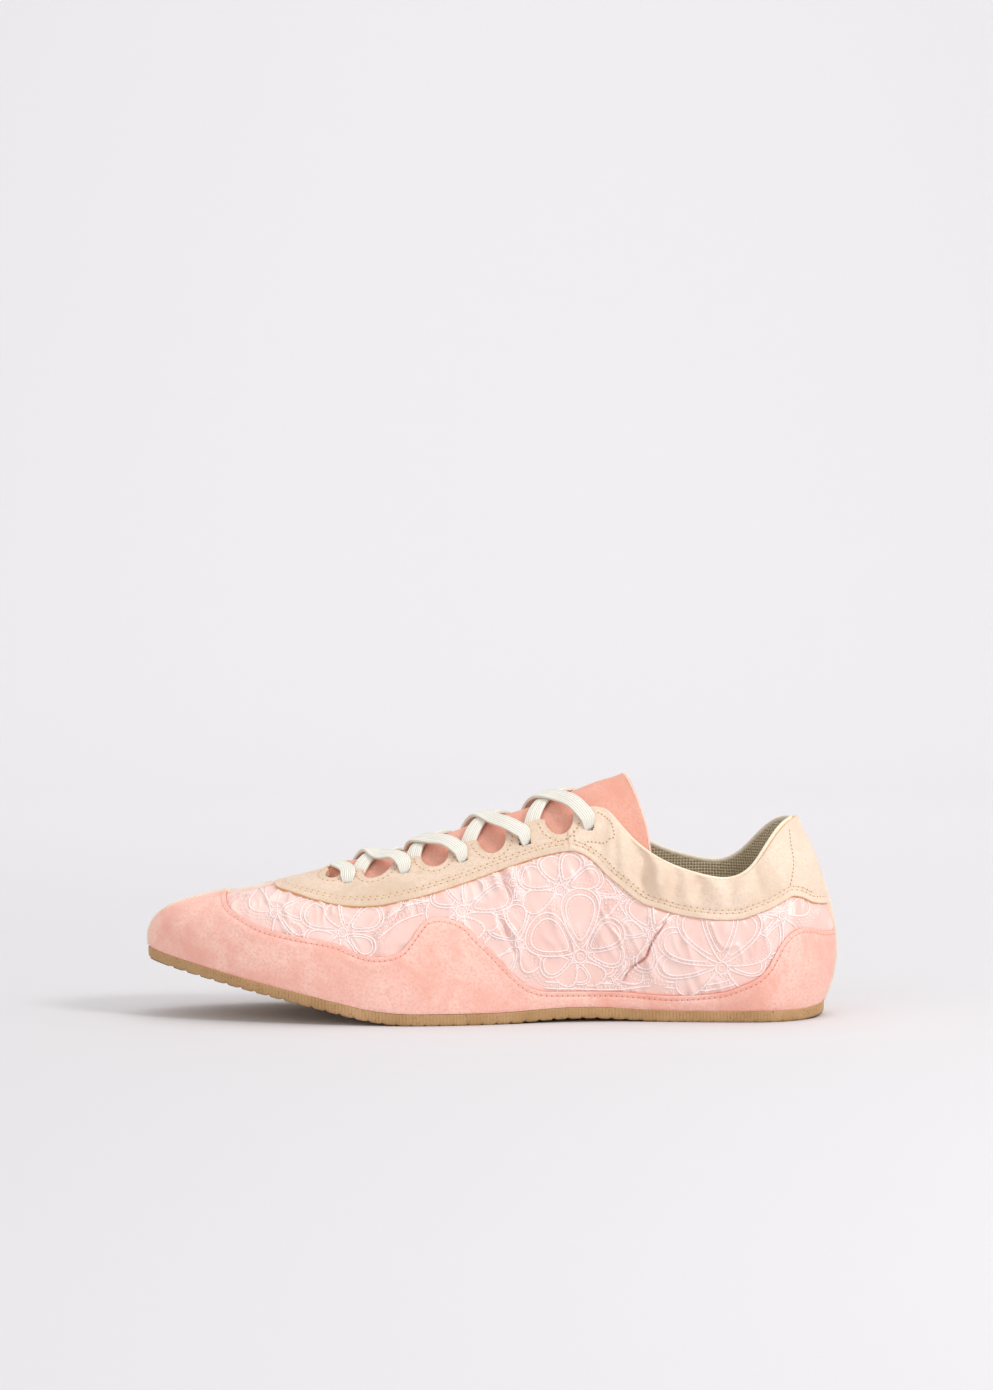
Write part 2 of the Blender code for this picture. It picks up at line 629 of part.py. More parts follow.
def tongue_folds():
    """Curves across the tongue's outer face, from side to side over its crown, as rows by points."""
    inside = -(WALL + TONGUE_CLEARANCE)
    folds = []
    for row, crown_x, crown_z in TONGUE_ROWS:
        crown = (TIP_X + crown_x * SOLE_LENGTH, 0.0, crown_z * TONGUE_HEIGHT)
        anchors = []
        for side in (row, RING_END - row):
            anchors.append([wall(side, height, inside)[0] for height in (0.80, 0.97)])
        outer, inner = anchors
        through = np.array([outer[0], outer[1], crown, inner[1], inner[0]])
        knots = np.concatenate([[0], np.cumsum(np.linalg.norm(np.diff(through, axis=0), axis=1))])
        folds.append(spline(knots, through, np.linspace(0, knots[-1], TONGUE_STEPS + 1)))
    return np.array(folds)


FOLDS = tongue_folds()


def make_tongue(collection):
    """The tongue lies under the lace tabs and stands free over the collar."""
    under = (TIP_X + 0.5 * SOLE_LENGTH, 0.0, 0.0)
    return shell(
        "tongue", FOLDS, -TONGUE_THICKNESS, material("tongue"), collection, away=under
    )


def eyelet(row):
    """Share of the way up a wall line at which its lace hole is punched."""
    _, along = wall_lines(np.array([float(row)]))
    return 1 - EYELET_DROP / along[0, -1]


def eyelet_rows():
    """Places on the ring of all lace holes, outer side and inner side."""
    return [float(row) for row in TAB_ROWS] + [RING_END - float(row) for row in TAB_ROWS]


def punch_eyelets(shells, cutters):
    """Cuts the lace holes through the wall and the suede on it."""
    cutter_mesh = bpy.data.meshes.new("eyelet_punch")
    edit = bmesh.new()
    for row in eyelet_rows():
        height = eyelet(row)
        middle, outer = wall(row, height)[0], wall(row, height, 1.0)[0]
        axis = outer - middle
        placed = bmesh.ops.create_cone(
            edit, cap_ends=True, segments=8, radius1=EYELET_DIAMETER / 2 * MM,
            radius2=EYELET_DIAMETER / 2 * MM, depth=4 * (WALL + SUEDE) * MM,
        )["verts"]
        across = np.cross(axis, (1.0, 0.0, 0.0))
        across /= np.linalg.norm(across)
        turn = np.column_stack([np.cross(across, axis), across, axis])
        for vertex in placed:
            vertex.co = turn @ np.array(vertex.co) + middle * MM
    edit.to_mesh(cutter_mesh)
    edit.free()
    cutter = bpy.data.objects.new("eyelet_punch", cutter_mesh)
    cutter.hide_render = True
    cutter.display_type = "WIRE"
    cutters.objects.link(cutter)
    for cut in shells:
        hole = cut.modifiers.new("lace holes", "BOOLEAN")
        hole.operation = "DIFFERENCE"
        hole.object = cutter


def tongue_point(row, share, offset):
    """A point over the tongue's outer face: the wall line beside it, the share of the way across."""
    def face(at_row, at_share):
        at = np.clip(at_share, 0, 1) * TONGUE_STEPS
        knots = np.array([fold[0] for fold in TONGUE_ROWS])
        across = spline(knots, FOLDS.reshape(len(knots), -1), [at_row])[0].reshape(-1, 3)
        return spline(np.arange(TONGUE_STEPS + 1), across, [at])[0]

    along = face(row + 0.1, share) - face(row - 0.1, share)
    across = face(row, share + 0.03) - face(row, share - 0.03)
    normal = np.cross(along, across)
    normal *= math.copysign(1, normal[2]) / np.linalg.norm(normal)
    return face(row, share) + normal * offset


def smooth_route(through, steps):
    """Evenly spaced points and normals on the smooth curve through the given pairs of them."""
    through = np.array([np.concatenate(pair) for pair in through])
    spans = np.linalg.norm(np.diff(through[:, :3], axis=0), axis=1)
    knots = np.concatenate([[0], np.cumsum(spans)])
    return spline(knots, through, np.linspace(0, knots[-1], steps + 1))


def placed(point, offset):
    """A point at a distance over a face, with the face's normal there, from a function of the distance."""
    normal = point(1.0) - point(0.0)
    return point(offset), normal


def on_wall(row, height, offset):
    return placed(lambda away: wall(row, height, away)[0], offset)


def on_tongue(row, share, offset):
    return placed(lambda away: tongue_point(row, share, away), offset)


def over_tab(tab, inner, layer):
    """The end of a strand, from the open throat over a tab's front corner to its lace hole."""
    clear = GAP + SUEDE + GAP + layer
    corner, hole = tab - TAB_CORNER, tab - HOLE_SHIFT
    if inner:
        corner, hole = RING_END - corner, RING_END - hole
    return [on_wall(corner, 1.0, clear + LACE_RISE), on_wall(hole, eyelet(hole), clear + LACE_REST)]


def crossing_route(tab, inner_end, layer):
    """From beside a tab's edge across the tongue to the next lace hole on the other side."""
    stops = (
        (EDGE_SHARE, tab + UNDER_TAB, 0.0),
        (0.5, tab + 0.52, 0.0),
        (0.93 - EDGE_SHARE, tab + 0.68, LACE_RISE),
    )
    path = []
    for share, row, lift in stops:
        across = share if inner_end else 1 - share
        path.append(on_tongue(row, across, GAP + LACE_REST + layer + lift))
    return smooth_route(path + over_tab(tab + 1, inner_end, layer), LACE_STEPS)


def bar_route():
    """Straight over the front of the throat from one first lace hole to the other."""
    tab = TAB_ROWS[0]
    height = wall(0.0, 1.0)[0][2] + 2 * GAP + SUEDE + LACE_REST
    crown = np.array([TIP_X + BAR_SHARE * SOLE_LENGTH, 0.0, height])
    upright = np.array([-0.25, 0.0, 0.97])
    through = over_tab(tab, False, 0.0)[::-1] + [(crown, upright)] + over_tab(tab, True, 0.0)
    return smooth_route(through, LACE_STEPS)


def lace_strand(name, route, finish, collection):
    """A flat length of lace along a route, which lies flat on the normals that the route carries."""
    points, normals = route[:, :3], route[:, 3:]
    along = np.gradient(points, axis=0)
    flat = np.cross(along, normals)
    flat /= np.linalg.norm(flat, axis=1)[:, None]
    half = LACE_WIDTH / 2
    sheet = np.stack([points - flat * half, points + flat * half])
    under = (points[:, 0].mean(), 0.0, 0.0)
    return shell(name, sheet, LACE_THICKNESS, finish, collection, away=under)


def make_lace(collection, cutters):
    """A bar over the front of the throat, then four crossings, each one solid."""
    finish = material("lace")
    lace_strand("lace_bar", bar_route(), finish, collection)
    for number, tab in enumerate(TAB_ROWS[:-1], start=1):
        over = lace_strand(
            f"lace_crossing_{number}", crossing_route(tab, False, LACE_THICKNESS * 0.8), finish, collection
        )
        under = lace_strand(f"lace_under_{number}", crossing_route(tab, True, 0.0), finish, cutters)
        under.hide_render = True
        under.display_type = "WIRE"
        join = over.modifiers.new("joined crossing", "BOOLEAN")
        join.operation = "UNION"
        join.object = under


def clear_scene():
    for old in list(bpy.data.objects):
        bpy.data.objects.remove(old)


def main():
    clear_scene()
    parts = bpy.data.collections.new(COLLECTION)
    cutters = bpy.data.collections.new("cutters")
    cutters.hide_render = True
    for made in (parts, cutters):
        bpy.context.scene.collection.children.link(made)
    cream = material("cream")
    make_outsole(parts)
    make_insole(parts)
    upper = make_upper(parts, material("upper"))
    make_mudguard(parts, material("mudguard"))
    punched = make_overlays(parts, cream)
    make_strips(parts, cream)
    make_tongue(parts)
    punch_eyelets([upper, *punched], cutters)
    make_lace(parts, cutters)


main()
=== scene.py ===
import math

import bmesh
import bpy
import numpy as np
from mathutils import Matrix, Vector


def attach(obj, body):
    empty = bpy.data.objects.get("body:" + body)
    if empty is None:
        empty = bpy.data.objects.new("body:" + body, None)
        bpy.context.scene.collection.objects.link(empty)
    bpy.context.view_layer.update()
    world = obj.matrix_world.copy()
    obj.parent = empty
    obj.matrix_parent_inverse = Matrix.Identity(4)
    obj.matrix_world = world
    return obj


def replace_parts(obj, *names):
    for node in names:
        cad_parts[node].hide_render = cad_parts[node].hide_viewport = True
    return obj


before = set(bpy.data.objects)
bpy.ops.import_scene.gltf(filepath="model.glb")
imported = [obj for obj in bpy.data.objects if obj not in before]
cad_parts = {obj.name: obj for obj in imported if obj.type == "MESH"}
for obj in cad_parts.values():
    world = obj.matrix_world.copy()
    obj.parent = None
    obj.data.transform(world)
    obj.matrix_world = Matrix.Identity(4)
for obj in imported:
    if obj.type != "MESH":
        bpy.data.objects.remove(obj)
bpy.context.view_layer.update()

# A low ballet-style sneaker. The toe points to -X, the outer side is -Y. Lengths here are in millimetres.
mm = 0.001
randomNumbers = np.random.default_rng(11)

shoe = {
    "length": 264.5, "heelSeat": 20.5, "toeWidth": 60.0, "ballWidth": 85.0, "waistWidth": 54.0,
    "heelWidth": 59.5, "instepHeight": 83.0, "heelHeight": 77.2, "throatWidth": 29.0, "collarWidth": 53.0,
    "baseInset": 1.6, "liningDepth": 1.5, "suede": 1.2,
}
soleShape = {
    "toeSpring": 22.3, "springLength": 106.0, "springBend": 26.0, "archRise": 1.4, "archFrom": 0.50,
    "archTo": 0.78, "heelRock": 1.2, "heelRockLength": 14.0, "thickness": 4.4, "toeRound": 0.17,
    "heelRound": 0.115,
}
tipX = shoe["heelSeat"] - shoe["length"]

# Plan of the sole: share of the length, width followed, half widths and sideways shift as shares of it
planRows = [
    (0.00, "toeWidth", 0.43, 0.49, 0.035), (0.10, "toeWidth", 0.50, 0.56, 0.025),
    (0.20, "ballWidth", 0.425, 0.465, 0.010), (0.32, "ballWidth", 0.485, 0.505, 0.004),
    (0.40, "ballWidth", 0.495, 0.500, 0.0), (0.50, "ballWidth", 0.445, 0.430, 0.0),
    (0.60, "waistWidth", 0.565, 0.535, 0.0), (0.70, "waistWidth", 0.505, 0.480, 0.0),
    (0.83, "heelWidth", 0.492, 0.487, 0.0), (0.92, "heelWidth", 0.502, 0.496, 0.0),
    (1.00, "heelWidth", 0.490, 0.480, 0.0),
]
# Wall lines at the throat: angle on the outline, top edge x, y, z as shares, then the four bends
throatRows = [
    (0, 0.271, 0.000, 0.688, 0.14, 0.70, 1.30, 0.43), (22, 0.267, 0.110, 0.686, 0.13, 0.64, 1.12, 0.39),
    (38, 0.270, 0.200, 0.682, 0.11, 0.56, 0.86, 0.31), (52, 0.283, 0.262, 0.678, 0.08, 0.49, 0.66, 0.23),
    (64, 0.305, 0.310, 0.680, 0.06, 0.44, 0.51, 0.18), (75, 0.386, 0.382, 0.738, 0.05, 0.38, 0.40, 0.155),
    (86.5, 0.464, 0.412, 0.806, 0.04, 0.36, 0.31, 0.170), (96.5, 0.556, 0.450, 0.902, 0.05, 0.36, 0.25, 0.190),
    (108.5, 0.650, 0.487, 0.984, 0.06, 0.36, 0.19, 0.220),
]
# The same at the collar, with the outer and inner side's heights apart
collarRows = [
    (113, 0.687, 0.315, 1.010, 1.012, 0.08, 0.34, 0.16, 0.24),
    (118.5, 0.717, 0.392, 0.898, 0.915, 0.10, 0.32, 0.13, 0.27),
    (125, 0.763, 0.462, 0.800, 0.822, 0.12, 0.32, 0.10, 0.30),
    (132, 0.815, 0.500, 0.746, 0.768, 0.14, 0.33, 0.08, 0.33),
    (139, 0.855, 0.498, 0.732, 0.757, 0.15, 0.34, 0.08, 0.33),
    (147, 0.887, 0.455, 0.778, 0.815, 0.15, 0.34, 0.10, 0.33),
    (156, 0.913, 0.362, 0.885, 0.910, 0.15, 0.33, 0.12, 0.33),
    (167, 0.938, 0.210, 0.975, 0.982, 0.15, 0.31, 0.14, 0.33),
    (180, 0.954, 0.000, 1.000, 1.000, 0.16, 0.30, 0.155, 0.33),
]
tabRows = [4, 5, 6, 7, 8]  # wall lines that end in a lace tab
heelRow = 17
seamRow = 7.57  # eyestay to collar
# Panel lines seen from the side: share of the length, share of the heel's height
mudguardLine = [
    (0.108, 0.760), (0.117, 0.625), (0.125, 0.565), (0.140, 0.531), (0.159, 0.500), (0.180, 0.470),
    (0.208, 0.448), (0.233, 0.431), (0.284, 0.399), (0.318, 0.354), (0.340, 0.340), (0.361, 0.345),
    (0.378, 0.369), (0.390, 0.416), (0.403, 0.477), (0.415, 0.516), (0.433, 0.528), (0.450, 0.518),
    (0.471, 0.484), (0.489, 0.422), (0.506, 0.369), (0.540, 0.247), (0.564, 0.181), (0.589, 0.160),
    (0.694, 0.154), (0.770, 0.137), (0.808, 0.143), (0.846, 0.158), (0.870, 0.188), (0.892, 0.223),
    (0.908, 0.276), (0.918, 0.337), (0.929, 0.399), (0.944, 0.446), (0.960, 0.465), (0.975, 0.460),
    (0.990, 0.443), (1.020, 0.426),
]
eyestayLine = [
    (0.178, 0.780), (0.191, 0.654), (0.208, 0.640), (0.229, 0.622), (0.251, 0.602), (0.293, 0.575),
    (0.318, 0.572), (0.345, 0.578), (0.369, 0.594), (0.403, 0.619), (0.471, 0.689), (0.536, 0.768),
    (0.580, 0.817), (0.611, 0.840), (0.626, 0.845), (0.640, 0.832), (0.657, 0.794), (0.676, 0.728),
    (0.694, 0.679), (0.716, 0.618), (0.733, 0.584), (0.755, 0.562), (0.777, 0.540), (0.808, 0.521),
    (0.846, 0.510), (0.870, 0.514), (0.889, 0.534), (0.911, 0.561), (0.935, 0.600), (0.947, 0.620),
    (0.958, 0.613), (0.980, 0.579), (1.020, 0.555),
]


def splineSlopes(knots, values, closed):
    count = len(knots)
    steps = np.diff(knots)
    rises = np.diff(values, axis=0) / steps[:, None]
    matrix = np.zeros((count, count))
    right = np.zeros_like(values)
    for i in range(1, count - 1):
        matrix[i, i - 1:i + 2] = steps[i], 2 * (steps[i - 1] + steps[i]), steps[i - 1]
        right[i] = 3 * (steps[i] * rises[i - 1] + steps[i - 1] * rises[i])
    if closed:
        matrix[0, [count - 2, 0, 1]] = steps[0], 2 * (steps[-1] + steps[0]), steps[-1]
        right[0] = 3 * (steps[0] * rises[-1] + steps[-1] * rises[0])
        matrix[-1, [0, -1]] = 1, -1
    else:
        matrix[0, :2] = 2, 1
        right[0] = 3 * rises[0]
        matrix[-1, -2:] = 1, 2
        right[-1] = 3 * rises[-1]
    return np.linalg.solve(matrix, right)


def hermite(knots, values, slopes, at):
    i = np.clip(np.searchsorted(knots, at, side="right") - 1, 0, len(knots) - 2)
    step = knots[i + 1] - knots[i]
    t = ((at - knots[i]) / step)[:, None]
    step = step[:, None]
    return ((2 * t**3 - 3 * t**2 + 1) * values[i] + (t**3 - 2 * t**2 + t) * step * slopes[i]
            + (3 * t**2 - 2 * t**3) * values[i + 1] + (t**3 - t**2) * step * slopes[i + 1])


def spline(knots, values, at, closed=False):
    knots = np.asarray(knots, float)
    values = np.asarray(values, float)
    return hermite(knots, values, splineSlopes(knots, values, closed), np.asarray(at, float))


def smoothLine(points, step):
    # a smooth curve through the points, sampled about every step
    points = np.asarray(points, float)
    knots = np.concatenate([[0], np.cumsum(np.linalg.norm(np.diff(points[:, :3], axis=0), axis=1))])
    count = max(int(knots[-1] / step), 4)
    return spline(knots, points, np.linspace(0, knots[-1], count + 1))


def panelLine(rows, x):
    # eased so that it never overshoots a row
    table = np.array(rows)
    knots = tipX + table[:, 0] * shoe["length"]
    values = table[:, 1:] * shoe["heelHeight"]
    rises = np.diff(values[:, 0]) / np.diff(knots)
    slopes = np.concatenate([[rises[0]], np.zeros(len(rises) - 1), [rises[-1]]])
    sameWay = rises[:-1] * rises[1:] > 0
    slopes[1:-1][sameWay] = 2 / (1 / rises[:-1][sameWay] + 1 / rises[1:][sameWay])
    return hermite(knots, values, slopes[:, None], np.clip(x, knots[0], knots[-1]))[:, 0]


planTable = np.array([(row[0], *(part * shoe[row[1]] for part in row[2:])) for row in planRows])


def halfWidths(share):
    share = np.clip(share, 0, 1)
    widths = spline(planTable[:, 0], planTable[:, 1:], share)
    toe = np.sqrt(1 - np.clip(1 - share / soleShape["toeRound"], 0, 1) ** 2)
    heel = np.sqrt(1 - np.clip(1 - (1 - share) / soleShape["heelRound"], 0, 1) ** 2)
    return widths[:, 2] - widths[:, 0] * toe * heel, widths[:, 2] + widths[:, 1] * toe * heel


def floorRise(x):
    x = np.asarray(x, float)
    lift = np.clip(tipX + soleShape["springLength"] - x, 0, None)
    slope = soleShape["toeSpring"] / (soleShape["springLength"] - soleShape["springBend"] / 2)
    bend = np.minimum(lift, soleShape["springBend"])
    toe = slope * (bend**2 / (2 * soleShape["springBend"]) + lift - bend)
    share = np.clip(((x - tipX) / shoe["length"] - soleShape["archFrom"])
                    / (soleShape["archTo"] - soleShape["archFrom"]), 0, 1)
    back = np.clip((x - (shoe["heelSeat"] - soleShape["heelRockLength"])) / soleShape["heelRockLength"], 0, 1)
    return toe + soleShape["archRise"] * np.sin(math.pi * share) ** 2 + soleShape["heelRock"] * back**2


def outline(angle):
    angle = np.radians(np.mod(angle, 360))
    share = (1 - np.cos(angle)) / 2
    outer, inner = halfWidths(share)
    return np.stack([tipX + share * shoe["length"], np.where(angle <= math.pi, outer, inner)], axis=1)


def outlineNormal(angle):
    along = outline(angle + 0.5) - outline(angle - 0.5)
    normal = np.stack([along[:, 1], -along[:, 0]], axis=1)
    return normal / np.linalg.norm(normal, axis=1)[:, None]


def ringOfWallLines():
    def side(sign):
        throat = [(r[0] if sign < 0 else 360 - r[0], tipX + r[1] * shoe["length"], sign * r[2] * shoe["throatWidth"],
                   r[3] * shoe["instepHeight"], *r[4:]) for r in throatRows]
        height = 3 if sign < 0 else 4
        collar = [(r[0] if sign < 0 else 360 - r[0], tipX + r[1] * shoe["length"], sign * r[2] * shoe["collarWidth"],
                   r[height] * shoe["heelHeight"], *r[5:]) for r in collarRows]
        return throat + collar
    return np.array(side(-1) + side(1)[-2::-1])


ring = ringOfWallLines()
ringEnd = len(ring) - 1
gridColumns, gridHeights = ringEnd * 40, 160


def makeWallGrid():
    # the upper's outer face as a dense grid of points and normals: ring place by share of the way up
    row = np.arange(gridColumns) * ringEnd / gridColumns
    places = np.arange(len(ring))
    columns = spline(places, ring[:, 1:], row, closed=True)
    turn = 360 / ringEnd
    angle = spline(places, ring[:, :1] - turn * places[:, None], row, closed=True)[:, 0] + turn * row
    out = outlineNormal(angle)
    plan = outline(angle) - shoe["baseInset"] * out
    foot = np.column_stack([plan, floorRise(plan[:, 0]) + soleShape["thickness"] + 0.3])
    top = columns[:, :3]
    height = (top[:, 2] - foot[:, 2])[:, None]
    out = np.column_stack([out, np.zeros(len(out))])
    up = np.array([0.0, 0.0, 1.0])
    low = foot + height * (columns[:, 3:4] * out + columns[:, 4:5] * up)
    high = top + height * (columns[:, 5:6] * out - columns[:, 6:7] * up)
    t = np.linspace(0, 1, gridHeights + 1)[None, :, None]
    points = ((1 - t) ** 3 * foot[:, None] + 3 * (1 - t) ** 2 * t * low[:, None]
              + 3 * (1 - t) * t**2 * high[:, None] + t**3 * top[:, None])
    along = np.concatenate([np.zeros((len(row), 1)),
                            np.cumsum(np.linalg.norm(np.diff(points, axis=1), axis=2), axis=1)], axis=1)
    even = np.linspace(0, 1, gridHeights + 1)
    for i in range(len(row)):
        points[i] = np.column_stack([np.interp(even * along[i, -1], along[i], points[i, :, k]) for k in range(3)])
    across = np.roll(points, -1, axis=0) - np.roll(points, 1, axis=0)
    normal = np.cross(np.gradient(points, axis=1), across)
    normal /= np.linalg.norm(normal, axis=2)[:, :, None]
    facing = np.sum(normal[:, :, :2] * out[:, None, :2], axis=2) + normal[:, :, 2] < 0
    normal[facing] *= -1
    return points, normal, along[:, -1]


wallPoints, wallNormals, wallLengths = makeWallGrid()


def readGrid(table, row, height, columns, rowSpan, heights, closed=True):
    u = (np.mod(row, rowSpan) if closed else np.clip(row, 0, rowSpan)) / rowSpan * columns
    i = np.minimum(np.floor(u).astype(int), columns - 1)
    v = np.clip(height, 0, 1) * heights
    j = np.minimum(np.floor(v).astype(int), heights - 1)
    a, b = (u - i)[..., None], (v - j)[..., None]
    n = (i + 1) % columns if closed else i + 1
    return ((1 - a) * (1 - b) * table[i, j] + a * (1 - b) * table[n, j]
            + (1 - a) * b * table[i, j + 1] + a * b * table[n, j + 1])


def onWall(row, height, out=0.0):
    # points at a distance out from the wall
    row, height = np.broadcast_arrays(np.asarray(row, float), np.asarray(height, float))
    point = readGrid(wallPoints, row, height, gridColumns, ringEnd, gridHeights)
    return point + wallNormal(row, height) * np.asarray(out)[..., None]


def wallNormal(row, height):
    row, height = np.broadcast_arrays(np.asarray(row, float), np.asarray(height, float))
    normal = readGrid(wallNormals, row, height, gridColumns, ringEnd, gridHeights)
    return normal / np.linalg.norm(normal, axis=-1)[..., None]


def alongRing(table, row):
    return np.interp(np.mod(row, ringEnd), np.arange(gridColumns + 1) * ringEnd / gridColumns,
                     np.append(table, table[0]))


def wallLength(row):
    return alongRing(wallLengths, row)


def panelHeights(rows):
    over = wallPoints[:, :, 2] - panelLine(rows, wallPoints[:, :, 0].ravel()).reshape(wallPoints.shape[:2])
    shares = np.ones(gridColumns)
    for i in range(gridColumns):
        above = np.nonzero(over[i] > 0)[0]
        if len(above) and above[0] > 0:
            j = above[0]
            shares[i] = (j - over[i, j] / (over[i, j] - over[i, j - 1])) / gridHeights
    return shares


eyestayFoot = np.minimum(panelHeights(eyestayLine), 0.95)
mudguardTop = np.minimum(panelHeights(mudguardLine), eyestayFoot - 0.05)

tabs = {"scallopWidth": 11.0, "scallopDepth": 9.8, "cornerRadius": 3.4, "slitRow": 2.8, "slitWidth": 5.0,
        "slitDepth": 7.5, "slitCorner": 2.4, "eyeletDrop": 8.5, "eyeletRadius": 2.1, "holeShift": 0.03,
        "rimDip": 1.6, "rimDipRow": 12.6}


def rowPitch(row):
    return float(np.linalg.norm(onWall(row, 1.0) - onWall(row + 1, 1.0)))


def scallops():
    cuts = [(tabs["slitRow"], tabs["slitWidth"] / 2 / rowPitch(2.4), tabs["slitDepth"], rowPitch(2.4))]
    for first in tabRows[:-1]:
        pitch = rowPitch(first)
        cuts.append((first + 0.5, tabs["scallopWidth"] / 2 / pitch, tabs["scallopDepth"], pitch))
    return cuts


cuts = scallops()


def throatDepth(row):
    # how far the throat's edge is cut down in round scallops, with the tabs' corners rounded off
    folded = np.minimum(np.mod(row, ringEnd), ringEnd - np.mod(row, ringEnd))
    depth = np.zeros(np.shape(folded))
    for number, (middle, half, deep, pitch) in enumerate(cuts):
        away = np.abs(folded - middle)
        inside = np.clip(1 - (away / half) ** 2, 0, None)
        corner = (tabs["cornerRadius"] if number else tabs["slitCorner"])
        shy = np.clip(1 - (away - half) * pitch / corner, 0, 1)
        rounded = corner * 0.62 * (1 - np.sqrt(1 - shy**2))
        depth = np.maximum(depth, np.where(away < half, corner * 0.62 + (deep - corner * 0.62) * np.sqrt(inside),
                                           rounded))
    onOuter = np.mod(row, ringEnd) < heelRow
    dip = tabs["rimDip"] * np.exp(-((folded - tabs["rimDipRow"]) / 2.2) ** 2)
    return depth + np.where(onOuter & (folded > 8.8), dip * np.clip((folded - 8.8) / 1.0, 0, 1), 0)


def edgeShare(row):
    return 1 - throatDepth(row) / wallLength(row)


def columnsFrom(first, last, step=0.035):
    # places along the ring, closer together in the scallops
    places = list(np.arange(first, last, step)) + [last]
    turn = np.sin(np.linspace(-math.pi / 2, math.pi / 2, 21))
    for middle, half, deep, pitch in cuts:
        for centre in (middle, ringEnd - middle, middle + ringEnd):
            near = centre + half * turn
            places += list(near[(near > first + 0.002) & (near < last - 0.002)])
            for side in (-1, 1):
                near = centre + side * (half + np.linspace(0.02, 1, 6) * tabs["cornerRadius"] / pitch)
                places += list(near[(near > first + 0.002) & (near < last - 0.002)])
    places = np.array(sorted(places))
    return places[np.concatenate([[True], np.diff(places) > 0.0015])]


print("stage: the last's wall is laid out")


# ---- meshes
def newMesh(name, points, faces, material, smooth=True, uv=None):
    # faces: arrays of corner numbers, each array with its own count of corners a face
    mesh = bpy.data.meshes.new(name)
    points = np.asarray(points, float) * mm
    faces = [np.asarray(f) for f in faces if len(f)]
    mesh.vertices.add(len(points))
    mesh.vertices.foreach_set("co", points.ravel())
    corners = np.concatenate([f.ravel() for f in faces])
    counts = np.concatenate([np.full(len(f), f.shape[1]) for f in faces])
    mesh.loops.add(len(corners))
    mesh.loops.foreach_set("vertex_index", corners.astype(np.int32))
    mesh.polygons.add(len(counts))
    mesh.polygons.foreach_set("loop_start", (np.cumsum(counts) - counts).astype(np.int32))
    mesh.update(calc_edges=True)
    mesh.validate()
    if uv is not None:
        layer = mesh.uv_layers.new(name="map")
        layer.data.foreach_set("uv", np.asarray(uv, float)[corners].ravel())
    if smooth:
        mesh.shade_smooth()
    mesh.materials.append(material)
    piece = bpy.data.objects.new(name, mesh)
    bpy.context.scene.collection.objects.link(piece)
    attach(piece, "root")
    return piece


def gridFaces(columns, rows, closedColumns=False, start=0):
    i = np.arange(columns if closedColumns else columns - 1)
    k = np.arange(rows - 1)
    i, k = (a.ravel() for a in np.meshgrid(i, k, indexing="ij"))
    j = (i + 1) % columns
    return start + np.column_stack([i * rows + k, j * rows + k, j * rows + k + 1, i * rows + k + 1])


def gridPiece(name, grid, material, uv=None, closedColumns=False, closedRows=False):
    columns, rows = grid.shape[:2]
    faces = gridFaces(columns, rows, closedColumns)
    if closedRows:
        i = np.arange(columns if closedColumns else columns - 1)
        j = (i + 1) % columns
        last = rows - 1
        faces = np.concatenate([faces, np.column_stack([i * rows + last, j * rows + last, j * rows, i * rows])])
    return newMesh(name, grid.reshape(-1, 3), [faces], material,
                   uv=None if uv is None else uv.reshape(-1, 2))


def tubesPiece(name, paths, material, sides=6):
    # paths: (points, normals, width, height) of each thread, with thin ends
    points, faces, start = [], [], 0
    turn = np.arange(sides) * 2 * math.pi / sides
    for line, normals, width, height in paths:
        line = np.asarray(line, float)
        along = np.gradient(line, axis=0)
        along /= np.linalg.norm(along, axis=1)[:, None] + 1e-12
        side = np.cross(along, normals)
        side /= np.linalg.norm(side, axis=1)[:, None] + 1e-12
        up = np.cross(side, along)
        scale = np.ones(len(line))
        scale[[0, -1]] = 0.45
        rings = (line[:, None] + (np.cos(turn)[None, :, None] * side[:, None] * width / 2
                                  + np.sin(turn)[None, :, None] * up[:, None] * height / 2) * scale[:, None, None])
        points.append(rings.reshape(-1, 3))
        i = np.arange(len(line) - 1)
        k = np.arange(sides)
        i, k = (a.ravel() for a in np.meshgrid(i, k, indexing="ij"))
        n = (k + 1) % sides
        faces.append(start + np.column_stack([i * sides + k, i * sides + n, (i + 1) * sides + n, (i + 1) * sides + k]))
        start += len(line) * sides
    return newMesh(name, np.concatenate(points), [np.concatenate(faces)], material)


def dotsPiece(name, spots, radius, material, lift=0.03):
    # needle holes: six-sided dark dots that lie on a surface, painted shade for the holes
    turn = np.arange(6) * math.pi / 3
    points, normals = (np.array(a) for a in zip(*spots))
    side = np.cross(normals, (0.3, 1.0, 0.2))
    side /= np.linalg.norm(side, axis=1)[:, None]
    up = np.cross(normals, side)
    ringPoints = (points + normals * lift)[:, None] + radius * (
        np.cos(turn)[None, :, None] * side[:, None] + np.sin(turn)[None, :, None] * up[:, None])
    return newMesh(name, ringPoints.reshape(-1, 3), [np.arange(len(points) * 6).reshape(-1, 6)], material,
                   smooth=False)


# ---- finishes
def tint(code):
    # a colour as it looks on screen, turned to the light values that shaders use
    parts = [int(code[i:i + 2], 16) / 255 for i in (0, 2, 4)]
    return tuple(c / 12.92 if c <= 0.04045 else ((c + 0.055) / 1.055) ** 2.4 for c in parts) + (1.0,)


